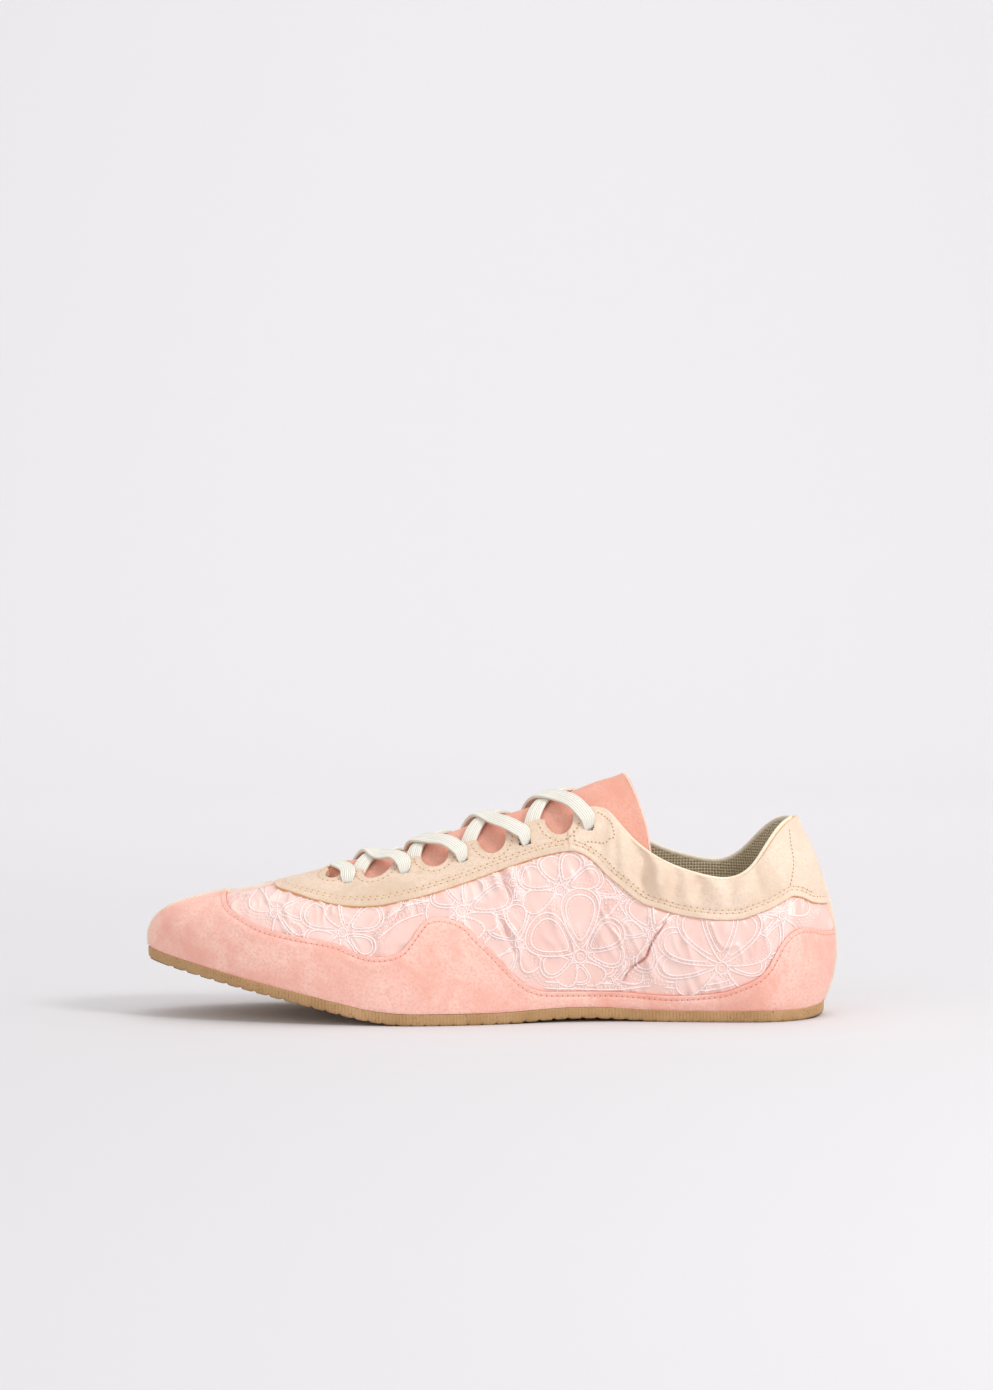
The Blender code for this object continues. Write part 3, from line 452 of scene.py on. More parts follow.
def newFinish(name, colour, roughness, sheen=0.0, sheenColour="ffffff", sheenRoughness=0.5, specular=0.5):
    finish = bpy.data.materials.new(name)
    finish.use_nodes = True
    shader = finish.node_tree.nodes["Principled BSDF"]
    shader.inputs["Base Color"].default_value = tint(colour)
    shader.inputs["Roughness"].default_value = roughness
    shader.inputs["Specular IOR Level"].default_value = specular
    shader.inputs["Sheen Weight"].default_value = sheen
    shader.inputs["Sheen Tint"].default_value = tint(sheenColour)
    shader.inputs["Sheen Roughness"].default_value = sheenRoughness
    finish.diffuse_color = tint(colour)
    return finish, finish.node_tree, shader


def addNode(tree, kind, inputs=None, **settings):
    node = tree.nodes.new(kind)
    for key, value in settings.items():
        setattr(node, key, value)
    for key, value in (inputs or {}).items():
        if isinstance(value, bpy.types.NodeSocket):
            tree.links.new(value, node.inputs[key])
        else:
            node.inputs[key].default_value = value
    return node


def objectCoordinates(tree):
    return addNode(tree, "ShaderNodeTexCoord").outputs["Object"]


def noiseOn(tree, where, scale, detail=3.0, roughness=0.55, distortion=0.0):
    return addNode(tree, "ShaderNodeTexNoise", {
        "Vector": where, "Scale": scale, "Detail": detail, "Roughness": roughness, "Distortion": distortion,
    }).outputs["Fac"]


def blendOf(tree, factor, low, high, fromMin=0.3, fromMax=0.7):
    ranged = addNode(tree, "ShaderNodeMapRange", {
        "Value": factor, "From Min": fromMin, "From Max": fromMax}).outputs["Result"]
    mix = addNode(tree, "ShaderNodeMix", data_type="RGBA")
    tree.links.new(ranged, mix.inputs["Factor"])
    for name, value in (("A", low), ("B", high)):
        socket = [s for s in mix.inputs if s.name == name and s.type == "RGBA"][0]
        if isinstance(value, bpy.types.NodeSocket):
            tree.links.new(value, socket)
        else:
            socket.default_value = value
    return [s for s in mix.outputs if s.type == "RGBA"][0]


def bumpOf(tree, height, strength, distance, normal=None):
    inputs = {"Height": height, "Strength": strength, "Distance": distance}
    if normal is not None:
        inputs["Normal"] = normal
    return addNode(tree, "ShaderNodeBump", inputs).outputs["Normal"]


def suedeFinish(name, dark, pale, sheenColour, sheen=0.5, nap=1.0):
    # brushed leather: broad strokes where the nap lies another way, and short fibres
    finish, tree, shader = newFinish(name, pale, 0.95, sheen, sheenColour, 0.45, 0.15)
    where = objectCoordinates(tree)
    strokes = noiseOn(tree, where, 55.0, 4.0, 0.6, 0.6)
    fibres = noiseOn(tree, where, 900.0, 3.0, 0.7)
    crumbs = noiseOn(tree, where, 2600.0, 2.0, 0.6)
    broad = blendOf(tree, strokes, tint(dark), tint(pale), 0.30, 0.58)
    fine = blendOf(tree, fibres, tint(dark), broad, 0.28, 0.56)
    tree.links.new(fine, shader.inputs["Base Color"])
    rough = bumpOf(tree, fibres, 0.5 * nap, 0.0006)
    tree.links.new(bumpOf(tree, crumbs, 0.4 * nap, 0.00022, rough), shader.inputs["Normal"])
    return finish


def satinFinish(name):
    finish, tree, shader = newFinish(name, "f8d6cc", 0.31, 0.25, "ffe8ea", 0.4, 0.6)
    where = objectCoordinates(tree)
    cloudy = noiseOn(tree, where, 38.0, 3.0)
    base = blendOf(tree, cloudy, tint("f1c6bb"), tint("fadcd3"))
    # painted shade: the folds' lines are painted a deeper pink
    painted_crease_shade = addNode(tree, "ShaderNodeAttribute", attribute_name="painted_crease_shade").outputs["Fac"]
    tree.links.new(blendOf(tree, painted_crease_shade, base, tint("dc9386"), 0.0, 1.0), shader.inputs["Base Color"])
    slubs = noiseOn(tree, addNode(tree, "ShaderNodeMapping", {"Vector": where, "Scale": (3.0, 3.0, 0.35)}).outputs[0],
                    900.0, 2.0)
    weave = addNode(tree, "ShaderNodeTexWave", {"Vector": where, "Scale": 900.0, "Distortion": 1.0},
                    bands_direction="DIAGONAL").outputs["Fac"]
    soft = bumpOf(tree, slubs, 0.12, 0.0004)
    tree.links.new(bumpOf(tree, weave, 0.10, 0.0001, soft), shader.inputs["Normal"])
    return finish


def threadFinish(name, dark, pale, roughness=0.55):
    finish, tree, shader = newFinish(name, pale, roughness, 0.4, "ffffff", 0.4, 0.35)
    where = objectCoordinates(tree)
    twist = noiseOn(tree, where, 1500.0, 2.0)
    tree.links.new(blendOf(tree, twist, tint(dark), tint(pale), 0.25, 0.6), shader.inputs["Base Color"])
    tree.links.new(bumpOf(tree, twist, 0.4, 0.0002), shader.inputs["Normal"])
    return finish


def laceFinish(name):
    # flat woven cotton: ribs run along it, across them a fine weave; its map is in lace widths and millimetres
    finish, tree, shader = newFinish(name, "f6f2e6", 0.8, 0.35, "fffaf2", 0.4, 0.2)
    where = addNode(tree, "ShaderNodeTexCoord").outputs["UV"]
    ribs = addNode(tree, "ShaderNodeTexWave", {"Vector": where, "Scale": 2.2, "Distortion": 0.0},
                   bands_direction="X").outputs["Fac"]
    weave = addNode(tree, "ShaderNodeTexWave", {"Vector": where, "Scale": 0.62, "Distortion": 0.6,
                                                "Detail": 1.0}, bands_direction="Y").outputs["Fac"]
    # painted shade: the grooves between the ribs are painted darker
    tree.links.new(blendOf(tree, ribs, tint("dfd9c9"), tint("f8f5ec"), 0.0, 0.5), shader.inputs["Base Color"])
    grooves = bumpOf(tree, ribs, 0.5, 0.0004)
    tree.links.new(bumpOf(tree, weave, 0.12, 0.0002, grooves), shader.inputs["Normal"])
    return finish


def liningFinish(name):
    # spacer mesh with small open cells; its map is in millimetres
    finish, tree, shader = newFinish(name, "cbb898", 0.85, 0.3, "fff4e0", 0.5, 0.2)
    where = addNode(tree, "ShaderNodeTexCoord").outputs["UV"]
    cells = addNode(tree, "ShaderNodeTexVoronoi", {"Vector": where, "Scale": 0.82, "Randomness": 0.12},
                    feature="F1").outputs["Distance"]
    # the mesh's own cell pattern, with painted shade: the open cells' middles are painted darker
    tree.links.new(blendOf(tree, cells, tint("a89675"), tint("eadcc0"), 0.16, 0.52), shader.inputs["Base Color"])
    tree.links.new(bumpOf(tree, cells, 0.8, 0.0006), shader.inputs["Normal"])
    return finish


def rubberFinish(name):
    finish, tree, shader = newFinish(name, "b89468", 0.62, 0.0, "ffffff", 0.5, 0.4)
    where = objectCoordinates(tree)
    cloudy = noiseOn(tree, where, 60.0, 4.0)
    specks = noiseOn(tree, where, 1100.0, 2.0)
    base = blendOf(tree, cloudy, tint("ab8558"), tint("c29c72"))
    tree.links.new(blendOf(tree, specks, tint("93703f"), base, 0.25, 0.42), shader.inputs["Base Color"])
    tree.links.new(bumpOf(tree, specks, 0.25, 0.0002), shader.inputs["Normal"])
    return finish


finishes = {
    "salmon": suedeFinish("salmon_suede", "f2b1a0", "fccfc1", "ffddd2", 0.45),
    "tongue": suedeFinish("tongue_suede", "e6a28e", "efb7a4", "ffd0c4", 0.4),
    "cream": suedeFinish("cream_suede", "e6ccb6", "f2ddcb", "fff2e4", 0.35, 0.7),
    # painted shade: a copy of the cream suede made a touch darker, for the shade towards the top tab
    "collar": suedeFinish("collar_suede", "e3cab3", "f1dbc8", "fff2e4", 0.35, 0.7),
    # painted shade: the same cream suede painted darker, for the shade on the eyestay's tabs
    "facing": suedeFinish("facing_suede_painted_shade", "dabfa6", "ead2be", "fff0e4", 0.3, 0.8),
    "paleEdge": suedeFinish("pale_edge", "f0c0ac", "fbdccc", "fff0e6", 0.3),
    "satin": satinFinish("satin"),
    "thread": threadFinish("embroidery_thread", "fbdcd8", "fff0ec", 0.5),
    "seamThread": threadFinish("seam_thread", "e0bd94", "efd4b2"),
    "pinkThread": threadFinish("pink_seam_thread", "eba392", "f6b9aa"),
    "whiteThread": threadFinish("pale_stitching", "d9c3a8", "eee0cc"),
    "lace": laceFinish("lace_weave"),
    "lining": liningFinish("mesh_lining"),
    "rubber": rubberFinish("gum_rubber"),
    "binding": suedeFinish("rim_binding", "eadcc4", "faf0de", "fff6e8", 0.3, 0.6),
}
# painted shade: the dark colours of the needle-hole dots
holeShadeCream, holeTree, holeShader = newFinish("needle_hole_shade_cream", "b58a64", 0.95)
holeShadePink, holeTree, holeShader = newFinish("needle_hole_shade_pink", "cd7f70", 0.95)
print("stage: finishes are ready")

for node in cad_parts.values():
    node.data.materials.clear()
    node.data.materials.append(finishes["cream"])


# ---- relief: soft troughs and ridges, each a line with a width and a depth
def lineDistance(x, z, line):
    # distance from each point to a bent line, and the share of the way along it
    line = np.asarray(line, float)
    lengths = np.linalg.norm(np.diff(line, axis=0), axis=1)
    starts = np.concatenate([[0], np.cumsum(lengths)])
    best = np.full(np.shape(x), 1e9)
    place = np.zeros(np.shape(x))
    signed = np.zeros(np.shape(x))
    for i in range(len(line) - 1):
        way = (line[i + 1] - line[i]) / lengths[i]
        t = np.clip((x - line[i, 0]) * way[0] + (z - line[i, 1]) * way[1], 0, lengths[i])
        dx, dz = x - line[i, 0] - t * way[0], z - line[i, 1] - t * way[1]
        d = np.hypot(dx, dz)
        nearer = d < best
        best = np.where(nearer, d, best)
        place = np.where(nearer, (starts[i] + t) / starts[-1], place)
        signed = np.where(nearer, way[0] * dz - way[1] * dx, signed)
    return best, place, signed


def sideView(xShare, zShare):
    return tipX + np.asarray(xShare) * shoe["length"], np.asarray(zShare) * shoe["heelHeight"]


def foldRelief(points, folds):
    x, z = points[..., 0], points[..., 2]
    relief = np.zeros(np.shape(x))
    for line, width, depth, sharp in folds:
        curve = smoothLine(np.column_stack(sideView(*np.array(line).T)), 2.0)
        away, place, signed = lineDistance(x, z, curve)
        fade = np.sin(math.pi * np.clip(place, 0, 1)) ** 0.6
        relief += depth * fade * np.exp(-(away / width) ** 2)
        if sharp:
            relief -= sharp * fade * np.exp(-(away / (0.22 * width)) ** 2)
    return relief


def softNoise(points, size, seed):
    # gentle unevenness between -1 and 1, from a few slanted waves of about that size
    waves = np.random.default_rng(seed)
    total = np.zeros(points.shape[:-1])
    for _ in range(9):
        way = waves.normal(size=3)
        way *= waves.uniform(0.7, 1.5) * 2 * math.pi / size / np.linalg.norm(way)
        total += np.sin(points @ way + waves.uniform(0, 2 * math.pi))
    return total / 4.5


# ---- satin quarter
satin = {
    "columns": 1180, "rows": 66, "tuck": 3.0, "unevenness": 0.16, "unevennessSize": 9.0,
    "pucker": 1.0, "puckerSize": 11.0, "calmSize": 21.0, "foldStrength": 1.75,
    # each fold: points as shares of length and heel height, width, height, sharp cut at its middle
    "outerFolds": [
        ([(0.774, 0.560), (0.762, 0.512), (0.751, 0.455), (0.741, 0.399), (0.732, 0.325), (0.717, 0.286),
          (0.707, 0.256), (0.697, 0.180)], 2.4, 0.8, 1.25),
        ([(0.765, 0.540), (0.745, 0.455), (0.731, 0.370), (0.712, 0.310)], 4.5, 0.8, 0.0),
        ([(0.398, 0.620), (0.380, 0.550), (0.362, 0.470), (0.340, 0.350)], 2.0, 1.05, 0.0),
        ([(0.378, 0.600), (0.358, 0.510), (0.337, 0.400)], 1.7, 0.85, 0.0),
        ([(0.388, 0.612), (0.369, 0.520), (0.350, 0.400)], 1.2, -0.8, 0.0),
        ([(0.350, 0.585), (0.335, 0.520), (0.322, 0.450)], 1.6, 0.45, 0.0),
        ([(0.526, 0.800), (0.533, 0.740), (0.545, 0.640), (0.549, 0.580)], 1.8, 0.8, 0.0),
        ([(0.517, 0.790), (0.524, 0.720), (0.536, 0.620)], 1.5, -0.7, 0.0),
        ([(0.510, 0.760), (0.516, 0.700), (0.526, 0.610)], 1.7, 0.6, 0.0),
        ([(0.530, 0.520), (0.540, 0.420), (0.555, 0.300), (0.568, 0.230)], 2.0, 0.8, 0.0),
        ([(0.519, 0.500), (0.527, 0.420), (0.540, 0.310)], 1.6, 0.6, 0.0),
        ([(0.525, 0.510), (0.534, 0.420), (0.548, 0.300)], 1.2, -0.6, 0.0),
        ([(0.692, 0.640), (0.676, 0.540), (0.666, 0.440), (0.664, 0.360)], 2.6, 0.7, 0.0),
        ([(0.683, 0.640), (0.667, 0.540), (0.656, 0.450)], 1.6, -0.5, 0.0),
        ([(0.801, 0.480), (0.790, 0.400), (0.797, 0.300), (0.812, 0.220)], 2.0, 0.5, 0.0),
        ([(0.957, 0.590), (0.950, 0.520), (0.948, 0.470)], 2.0, 0.5, 0.0),
        ([(0.905, 0.540), (0.893, 0.440), (0.888, 0.330)], 2.4, 0.4, 0.0),
    ],
    "innerFolds": [
        ([(0.760, 0.560), (0.742, 0.480), (0.726, 0.380), (0.705, 0.220)], 2.4, 0.7, 1.1),
        ([(0.405, 0.620), (0.385, 0.540), (0.360, 0.420)], 2.2, 0.7, 0.0),
        ([(0.385, 0.610), (0.364, 0.520), (0.344, 0.400)], 1.8, -0.5, 0.0),
        ([(0.530, 0.790), (0.540, 0.690), (0.552, 0.580)], 2.0, 0.7, 0.0),
        ([(0.545, 0.500), (0.556, 0.380), (0.575, 0.260)], 2.2, 0.7, 0.0),
        ([(0.680, 0.630), (0.665, 0.520), (0.660, 0.400)], 2.4, 0.6, 0.0),
        ([(0.900, 0.540), (0.885, 0.420), (0.880, 0.300)], 2.4, 0.5, 0.0),
    ],
}


def satinRelief(row, height):
    points = onWall(row, height)
    outer = foldRelief(points, satin["outerFolds"])
    inner = foldRelief(points, satin["innerFolds"])
    side = np.clip(points[..., 1] / 6 + 0.5, 0, 1)
    uneven = satin["unevenness"] * softNoise(points, satin["unevennessSize"], 3)
    drawn = points @ np.array([[1.5, 0, 0.45], [0, 0.6, 0], [0.6, 0, 0.35]])
    drawn = drawn + 3.2 * softNoise(points, 15.0, 15)[..., None]
    puckers = (1 - np.abs(softNoise(drawn, satin["puckerSize"], 4))) ** 2 * satin["pucker"]
    puckers *= 0.15 + 1.1 * np.clip(0.4 + 1.1 * softNoise(points, satin["calmSize"], 14), 0, 1)
    return satin["foldStrength"] * (outer * (1 - side) + inner * side) + uneven + puckers


def satinOut(row, height):
    # held down under the suede at both edges
    toEdge = np.minimum(height - alongRing(mudguardTop, row), alongRing(eyestayFoot, row) - height)
    return satinRelief(row, height) * np.clip((toEdge * wallLength(row) + 1.5) / 2.5, 0, 1)


def makeSatin():
    row = np.linspace(0, ringEnd, satin["columns"], endpoint=False)[:, None]
    length = wallLength(row)
    low = alongRing(mudguardTop, row) - satin["tuck"] / length
    high = alongRing(eyestayFoot, row) + satin["tuck"] / length
    share = np.linspace(0, 1, satin["rows"])[None, :]
    height = low + (high - low) * share
    row = row + 0 * height
    grid = onWall(row, height, satinOut(row, height))
    piece = gridPiece("satin_quarter", grid, finishes["satin"], closedColumns=True)
    # painted shade: the folds are painted a deeper pink along their lines, most where a sharp crease is cut, for the
    # shade that falls in them
    depth = np.zeros(grid.shape[:2])
    for folds, here in ((satin["outerFolds"], grid[..., 1] < 0), (satin["innerFolds"], grid[..., 1] >= 0)):
        for line, width, height, sharp in folds:
            away, place, signed = lineDistance(grid[..., 0], grid[..., 2], np.column_stack(sideView(*np.array(line).T)))
            foldShadeTone = (0.62 if sharp else 0.22) * np.sin(math.pi * np.clip(place, 0, 1)) ** 0.5
            depth = np.maximum(depth, np.where(here, foldShadeTone * np.exp(-(away / (0.28 * width)) ** 2), 0))
    painted_crease_shade = piece.data.attributes.new("painted_crease_shade", "FLOAT", "POINT")
    painted_crease_shade.data.foreach_set("value", depth.ravel().astype(np.float32))
    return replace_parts(piece, "upper")


makeSatin()
print("stage: satin with its folds")


# ---- suede panels
def edgeStep(away):
    # the suede's height near its cut edge, as a share of its thickness
    round_ = np.sqrt(np.clip(1 - (1 - np.clip(away / 0.55, 0, 1)) ** 2, 0, 1))
    return np.where(away <= 0.004, 0.0, 0.62 + 0.38 * round_)


def suedePanel(name, columns, low, high, rows, finish, relief=None, ends=True, closed=False,
               holes=(), thickness=None, foot=None):
    # low and high are shares of the wall at each column; relief takes ring places, heights and edge distances
    thickness = thickness or shoe["suede"]
    length = wallLength(columns)
    near = np.array([0, 0.02, 0.12, 0.3, 0.6, 1.0])
    span = (high - low) * length
    even = np.linspace(0, 1, rows)[1:-1]
    inside = 1.0 + (span[:, None] - 2.0) * even[None, :]
    away = np.concatenate([np.repeat(near[None], len(columns), 0), inside, span[:, None] - near[::-1][None]], axis=1)
    height = low[:, None] + away / length[:, None]
    edge = np.minimum(away, span[:, None] - away)
    edge[:, 0] = edge[:, -1] = 0
    if foot is not None:
        edge[:, :6] = np.maximum(edge[:, :6], foot)
    if ends:
        middle = onWall(columns, (low + high) / 2)
        run = np.concatenate([[0], np.cumsum(np.linalg.norm(np.diff(middle, axis=0), axis=1))])
        edge = np.minimum(edge, np.minimum(run, run[-1] - run)[:, None])
    out = thickness * edgeStep(edge) + 0.02
    row = np.repeat(columns[:, None], height.shape[1], 1)
    if relief is not None:
        out = out + relief(row, height, away, span[:, None] - away) * np.clip(edge, 0, 1)
    grid = onWall(row, height, out)
    faces = gridFaces(len(columns), height.shape[1], closed)
    flatRow, flatHeight, points = row.ravel(), height.ravel(), grid.reshape(-1, 3)
    drop = np.zeros(len(points), bool)
    for holeRow in holes:
        centre = onWall(holeRow, eyeletShare(holeRow), thickness)
        reach = np.linalg.norm(points - centre, axis=1)
        inner = reach < tabs["eyeletRadius"]
        drop |= inner
        ringPart = ~inner & (reach < tabs["eyeletRadius"] + 0.55)
        points[ringPart] = centre + (points[ringPart] - centre) * (
            tabs["eyeletRadius"] / reach[ringPart])[:, None]
        points[ringPart] -= wallNormal(holeRow, eyeletShare(holeRow)) * 0.35
    faces = faces[~drop[faces].any(axis=1)]
    piece = newMesh(name, points, [faces], finish)
    rim = piece.data.attributes.new("cutEdge", "FLOAT", "POINT")
    rim.data.foreach_set("value", np.clip(1 - edge.ravel() / 0.4, 0, 1).astype(np.float32))
    return piece


def eyeletShare(row):
    return 1 - tabs["eyeletDrop"] / wallLength(row)


def eyeletPlaces(first, last):
    places = [tab - tabs["holeShift"] for tab in tabRows]
    places += [ringEnd - tab for tab in places]
    return [p for p in places if first < p < last or first < p + ringEnd < last or first < p - ringEnd < last]


def addCutEdgeShade(finish, colour):
    # painted shade: the leather's raw cut edge is painted darker and warmer, for the shade where it turns down
    tree = finish.node_tree
    shader = tree.nodes["Principled BSDF"]
    old = shader.inputs["Base Color"].links[0].from_socket
    rim = addNode(tree, "ShaderNodeAttribute", attribute_name="cutEdge").outputs["Fac"]
    tree.links.new(blendOf(tree, rim, old, tint(colour), 0.35, 1.0), shader.inputs["Base Color"])


addCutEdgeShade(finishes["collar"], "e0aa72")
addCutEdgeShade(finishes["facing"], "dca56c")
addCutEdgeShade(finishes["salmon"], "e08e7a")

mudguard = {"rows": 38, "step": 0.034, "seam": 1.8, "pitch": 2.1, "unevenness": 0.22}


def mudguardRelief(row, height, fromLow, fromHigh):
    points = onWall(row, height)
    groove = -0.22 * np.exp(-((fromHigh - mudguard["seam"]) / 0.6) ** 2)
    puff = 0.18 * np.exp(-((fromHigh - mudguard["seam"] - 2.4) / 1.6) ** 2)
    return mudguard["unevenness"] * softNoise(points, 26.0, 5) + 0.06 * softNoise(points, 7.0, 6) + groove + puff


def makeMudguard():
    columns = np.arange(0, ringEnd, mudguard["step"])
    low = np.zeros(len(columns))
    high = alongRing(mudguardTop, columns)
    piece = suedePanel("mudguard_suede", columns, low, high, mudguard["rows"], finishes["salmon"],
                       mudguardRelief, ends=False, closed=True, foot=0.3)
    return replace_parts(piece, "mudguard")


makeMudguard()

facing = {"rows": 40, "seams": (3.0, 4.4), "pitch": 2.6, "scallopSeam": 2.7}


def facingRelief(row, height, fromLow, fromHigh):
    points = onWall(row, height)
    relief = 0.14 * softNoise(points, 20.0, 8) + 0.04 * softNoise(points, 6.0, 9)
    for seam in facing["seams"]:
        relief -= 0.16 * np.exp(-((fromLow - seam) / 0.45) ** 2)
    return relief - 0.12 * np.exp(-((fromHigh - facing["scallopSeam"]) / 0.5) ** 2)


def makeFacing():
    columns = columnsFrom(ringEnd - seamRow - 0.15, ringEnd + seamRow + 0.15)
    ends = np.array([0.02, 0.12, 0.3, 0.6]) / rowPitch(7)
    columns = np.array(sorted([*columns, *(columns[0] + ends), *(columns[-1] - ends)]))
    piece = suedePanel("eyestay_suede", columns, alongRing(eyestayFoot, columns), edgeShare(columns),
                       facing["rows"], finishes["facing"], facingRelief,
                       holes=eyeletPlaces(columns[0], columns[-1]))
    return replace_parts(piece, "eyestay")


makeFacing()

# ruched collar: soft troughs and ridges that run down from the rim to the sewn lower edge
collar = {
    "rows": 40, "seams": (2.6, 3.9), "pitch": 2.4, "puff": 1.1, "gatherStrength": 1.25,
    # ring place, half width in rows, depth, slant in rows from rim to seam
    "outerGathers": [
        (8.50, 0.20, -0.4, 0.4), (8.95, 0.24, 0.5, 0.5),
        (9.40, 0.30, 0.7, 0.1), (9.95, 0.22, -0.9, 0.1), (10.32, 0.24, -2.2, 0.05), (10.82, 0.27, 2.3, 0.2),
        (11.32, 0.22, -1.4, 0.35), (11.60, 0.20, 0.8, 0.2), (11.95, 0.26, -1.9, 0.3), (12.50, 0.34, 1.0, 0.1),
        (13.00, 0.20, -0.7, 0.2), (13.55, 0.35, 0.7, 0.1), (14.05, 0.20, -0.8, -0.15), (14.8, 0.45, 0.6, -0.1),
    ],
    "innerGathers": [
        (8.55, 0.20, -0.4, 0.4), (9.0, 0.24, 0.5, 0.4),
        (9.6, 0.30, 0.7, 0.1), (10.4, 0.25, -1.8, 0.1), (10.90, 0.28, 1.6, 0.1), (11.45, 0.28, -1.6, 0.2),
        (11.95, 0.26, 1.2, 0.1), (12.5, 0.28, -1.3, 0.1), (13.1, 0.32, 1.0, 0.0), (13.8, 0.34, -1.0, 0.0),
        (14.6, 0.4, 0.6, 0.0),
    ],
}


def collarRelief(row, height, fromLow, fromHigh):
    folded = np.minimum(np.mod(row, ringEnd), ringEnd - np.mod(row, ringEnd))
    outerSide = np.mod(row, ringEnd) < heelRow
    share = np.clip(fromLow / (fromLow + fromHigh + 1e-6), 0, 1)
    hold = np.clip((fromLow - 3.5) / 6.0, 0, 1) * np.clip(0.35 + fromHigh / 5.0, 0, 1)
    relief = np.zeros(np.shape(row))
    for gathers, here in ((collar["outerGathers"], outerSide), (collar["innerGathers"], ~outerSide)):
        for place, half, depth, slant in gathers:
            wave = collar["gatherStrength"] * depth * np.exp(-((folded - place + slant * (1 - share)) / half) ** 2)
            relief += np.where(here, wave * hold, 0)
    soft = np.clip((folded - 9.0) / 1.5, 0, 1)
    relief += collar["puff"] * soft * np.sin(math.pi * np.clip((fromLow - 3.0) / (fromLow + fromHigh - 2.0), 0, 1))
    points = onWall(row, height)
    relief += 0.12 * softNoise(points, 14.0, 10)
    relief += 0.55 * np.exp(-((folded - seamRow) / 0.35) ** 2)  # lies over the eyestay
    for seam in collar["seams"]:
        relief -= 0.2 * np.exp(-((fromLow - seam) / 0.45) ** 2)
    return relief


def makeCollar(name, node, first, last):
    columns = columnsFrom(first, last, 0.03)
    ends = np.array([0.02, 0.12, 0.3, 0.6]) / rowPitch(7)
    columns = np.array(sorted([*columns, *(columns[0] + ends), *(columns[-1] - ends)]))
    piece = suedePanel(name, columns, alongRing(eyestayFoot, columns), edgeShare(columns), collar["rows"],
                       finishes["collar"], collarRelief,
                       holes=eyeletPlaces(columns[0], columns[-1]))
    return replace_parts(piece, node)


makeCollar("collar_suede_outer", "collar_band_outer", seamRow + 0.008, heelRow - 0.01)
makeCollar("collar_suede_inner", "collar_band_inner", heelRow + 0.01, ringEnd - seamRow - 0.008)
print("stage: suede panels")


# ---- lining and rim binding
def makeLining():
    columns = columnsFrom(0, ringEnd - 0.03, 0.06)
    top = edgeShare(columns)
    share = np.concatenate([np.linspace(0, 0.985, 48), [1.0, 1.0, 1.0, 1.0]])
    height = top[:, None] * share[None, :]
    depth = np.full(height.shape, -shoe["liningDepth"])
    depth[:, -3:] = np.array([-1.2, -0.4, 0.03])[None, :]
    grid = onWall(np.repeat(columns[:, None], height.shape[1], 1), height, depth)
    run = np.concatenate([[0], np.cumsum(np.linalg.norm(np.diff(onWall(columns, 0.7), axis=0), axis=1))])
    fromSole = height * wallLength(columns)[:, None] + depth + shoe["liningDepth"]
    uv = np.stack([np.repeat(run[:, None], height.shape[1], 1), fromSole], axis=-1)
    points = grid.reshape(-1, 3)
    faces = gridFaces(len(columns), height.shape[1], True)
    drop = np.zeros(len(points), bool)
    for place in eyeletPlaces(-1, ringEnd):
        centre = onWall(place, eyeletShare(place), -shoe["liningDepth"])
        drop |= np.linalg.norm(points - centre, axis=1) < tabs["eyeletRadius"]
    faces = faces[~drop[faces].any(axis=1)]
    return newMesh("mesh_lining", points, [faces], finishes["lining"], uv=uv.reshape(-1, 2))


def makeBinding():
    # a thin rolled edge round the collar, between suede and lining
    row = np.arange(8.35, ringEnd - 8.35, 0.04)
    line = onWall(row, edgeShare(row) + 0.1 / wallLength(row), -0.85)
    return tubesPiece("rim_binding", [(line, wallNormal(row, 0.99 + 0 * row), 2.1, 1.5)], finishes["binding"],
                      sides=12)


makeLining()
makeBinding()


# ---- cover strips at toe and heel
strips = {"width": 5.0, "thickness": 0.6, "across": 11}


def makeStrip(name, node, row, low, high, lift):
    share = np.linspace(low, high, 150)
    across = np.linspace(-1, 1, strips["across"])
    middle = onWall(np.full(share.shape, float(row)), share, 0.0)
    beside = onWall(np.full(share.shape, row + 0.05), share) - onWall(np.full(share.shape, row - 0.05), share)
    beside /= np.linalg.norm(beside, axis=1)[:, None]
    normal = wallNormal(np.full(share.shape, float(row)), share)
    crown = strips["thickness"] * np.sqrt(np.clip(1 - np.abs(across) ** 6, 0, 1)) + 0.02
    away = lift(share)[:, None] + crown[None, :]
    bend = 0.5 * strips["width"] * across
    grid = (middle[:, None] + bend[None, :, None] * beside[:, None] + away[..., None] * normal[:, None])
    skirt = grid[:, [0, -1]] - 2.6 * normal[:, None]
    grid = np.concatenate([skirt[:, :1], grid, skirt[:, 1:]], axis=1)
    grid = np.concatenate([grid[:1] - 1.2 * normal[:1, None], grid, grid[-1:] - 1.2 * normal[-1:, None]])
    piece = gridPiece(name, grid, finishes["cream"])
    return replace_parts(piece, node)


toeTop, toeEnd = float(mudguardTop[0]), float(eyestayFoot[0])
heelTop = float(alongRing(mudguardTop, heelRow))
makeStrip("toe_cover_strip", "toe_strip", 0.0, 0.01, toeEnd + 0.01,
          lambda s: 0.1 + shoe["suede"] * np.clip((toeTop + 0.012 - s) / 0.012, 0, 1))
makeStrip("heel_cover_strip", "heel_strip", heelRow, 0.01, 0.9995, lambda s: 0.1 + shoe["suede"] + 0.0 * s)


# ---- tongue
tongue = {"thickness": 2.6, "clearance": 0.8, "height": 95.0, "across": 12, "bow": 1.7, "ridgeRound": 1.2}
# wall line it follows, crown's place and height as shares
tongueRows = [
    (1.5, 0.216, 0.508), (2.3, 0.232, 0.543), (3.3, 0.268, 0.607), (4.2, 0.325, 0.645), (5.0, 0.378, 0.668),
    (6.0, 0.471, 0.775), (7.0, 0.556, 0.846), (8.0, 0.655, 0.950), (8.8, 0.685, 0.978), (9.6, 0.700, 0.994),
    (10.5, 0.704, 1.000),
]


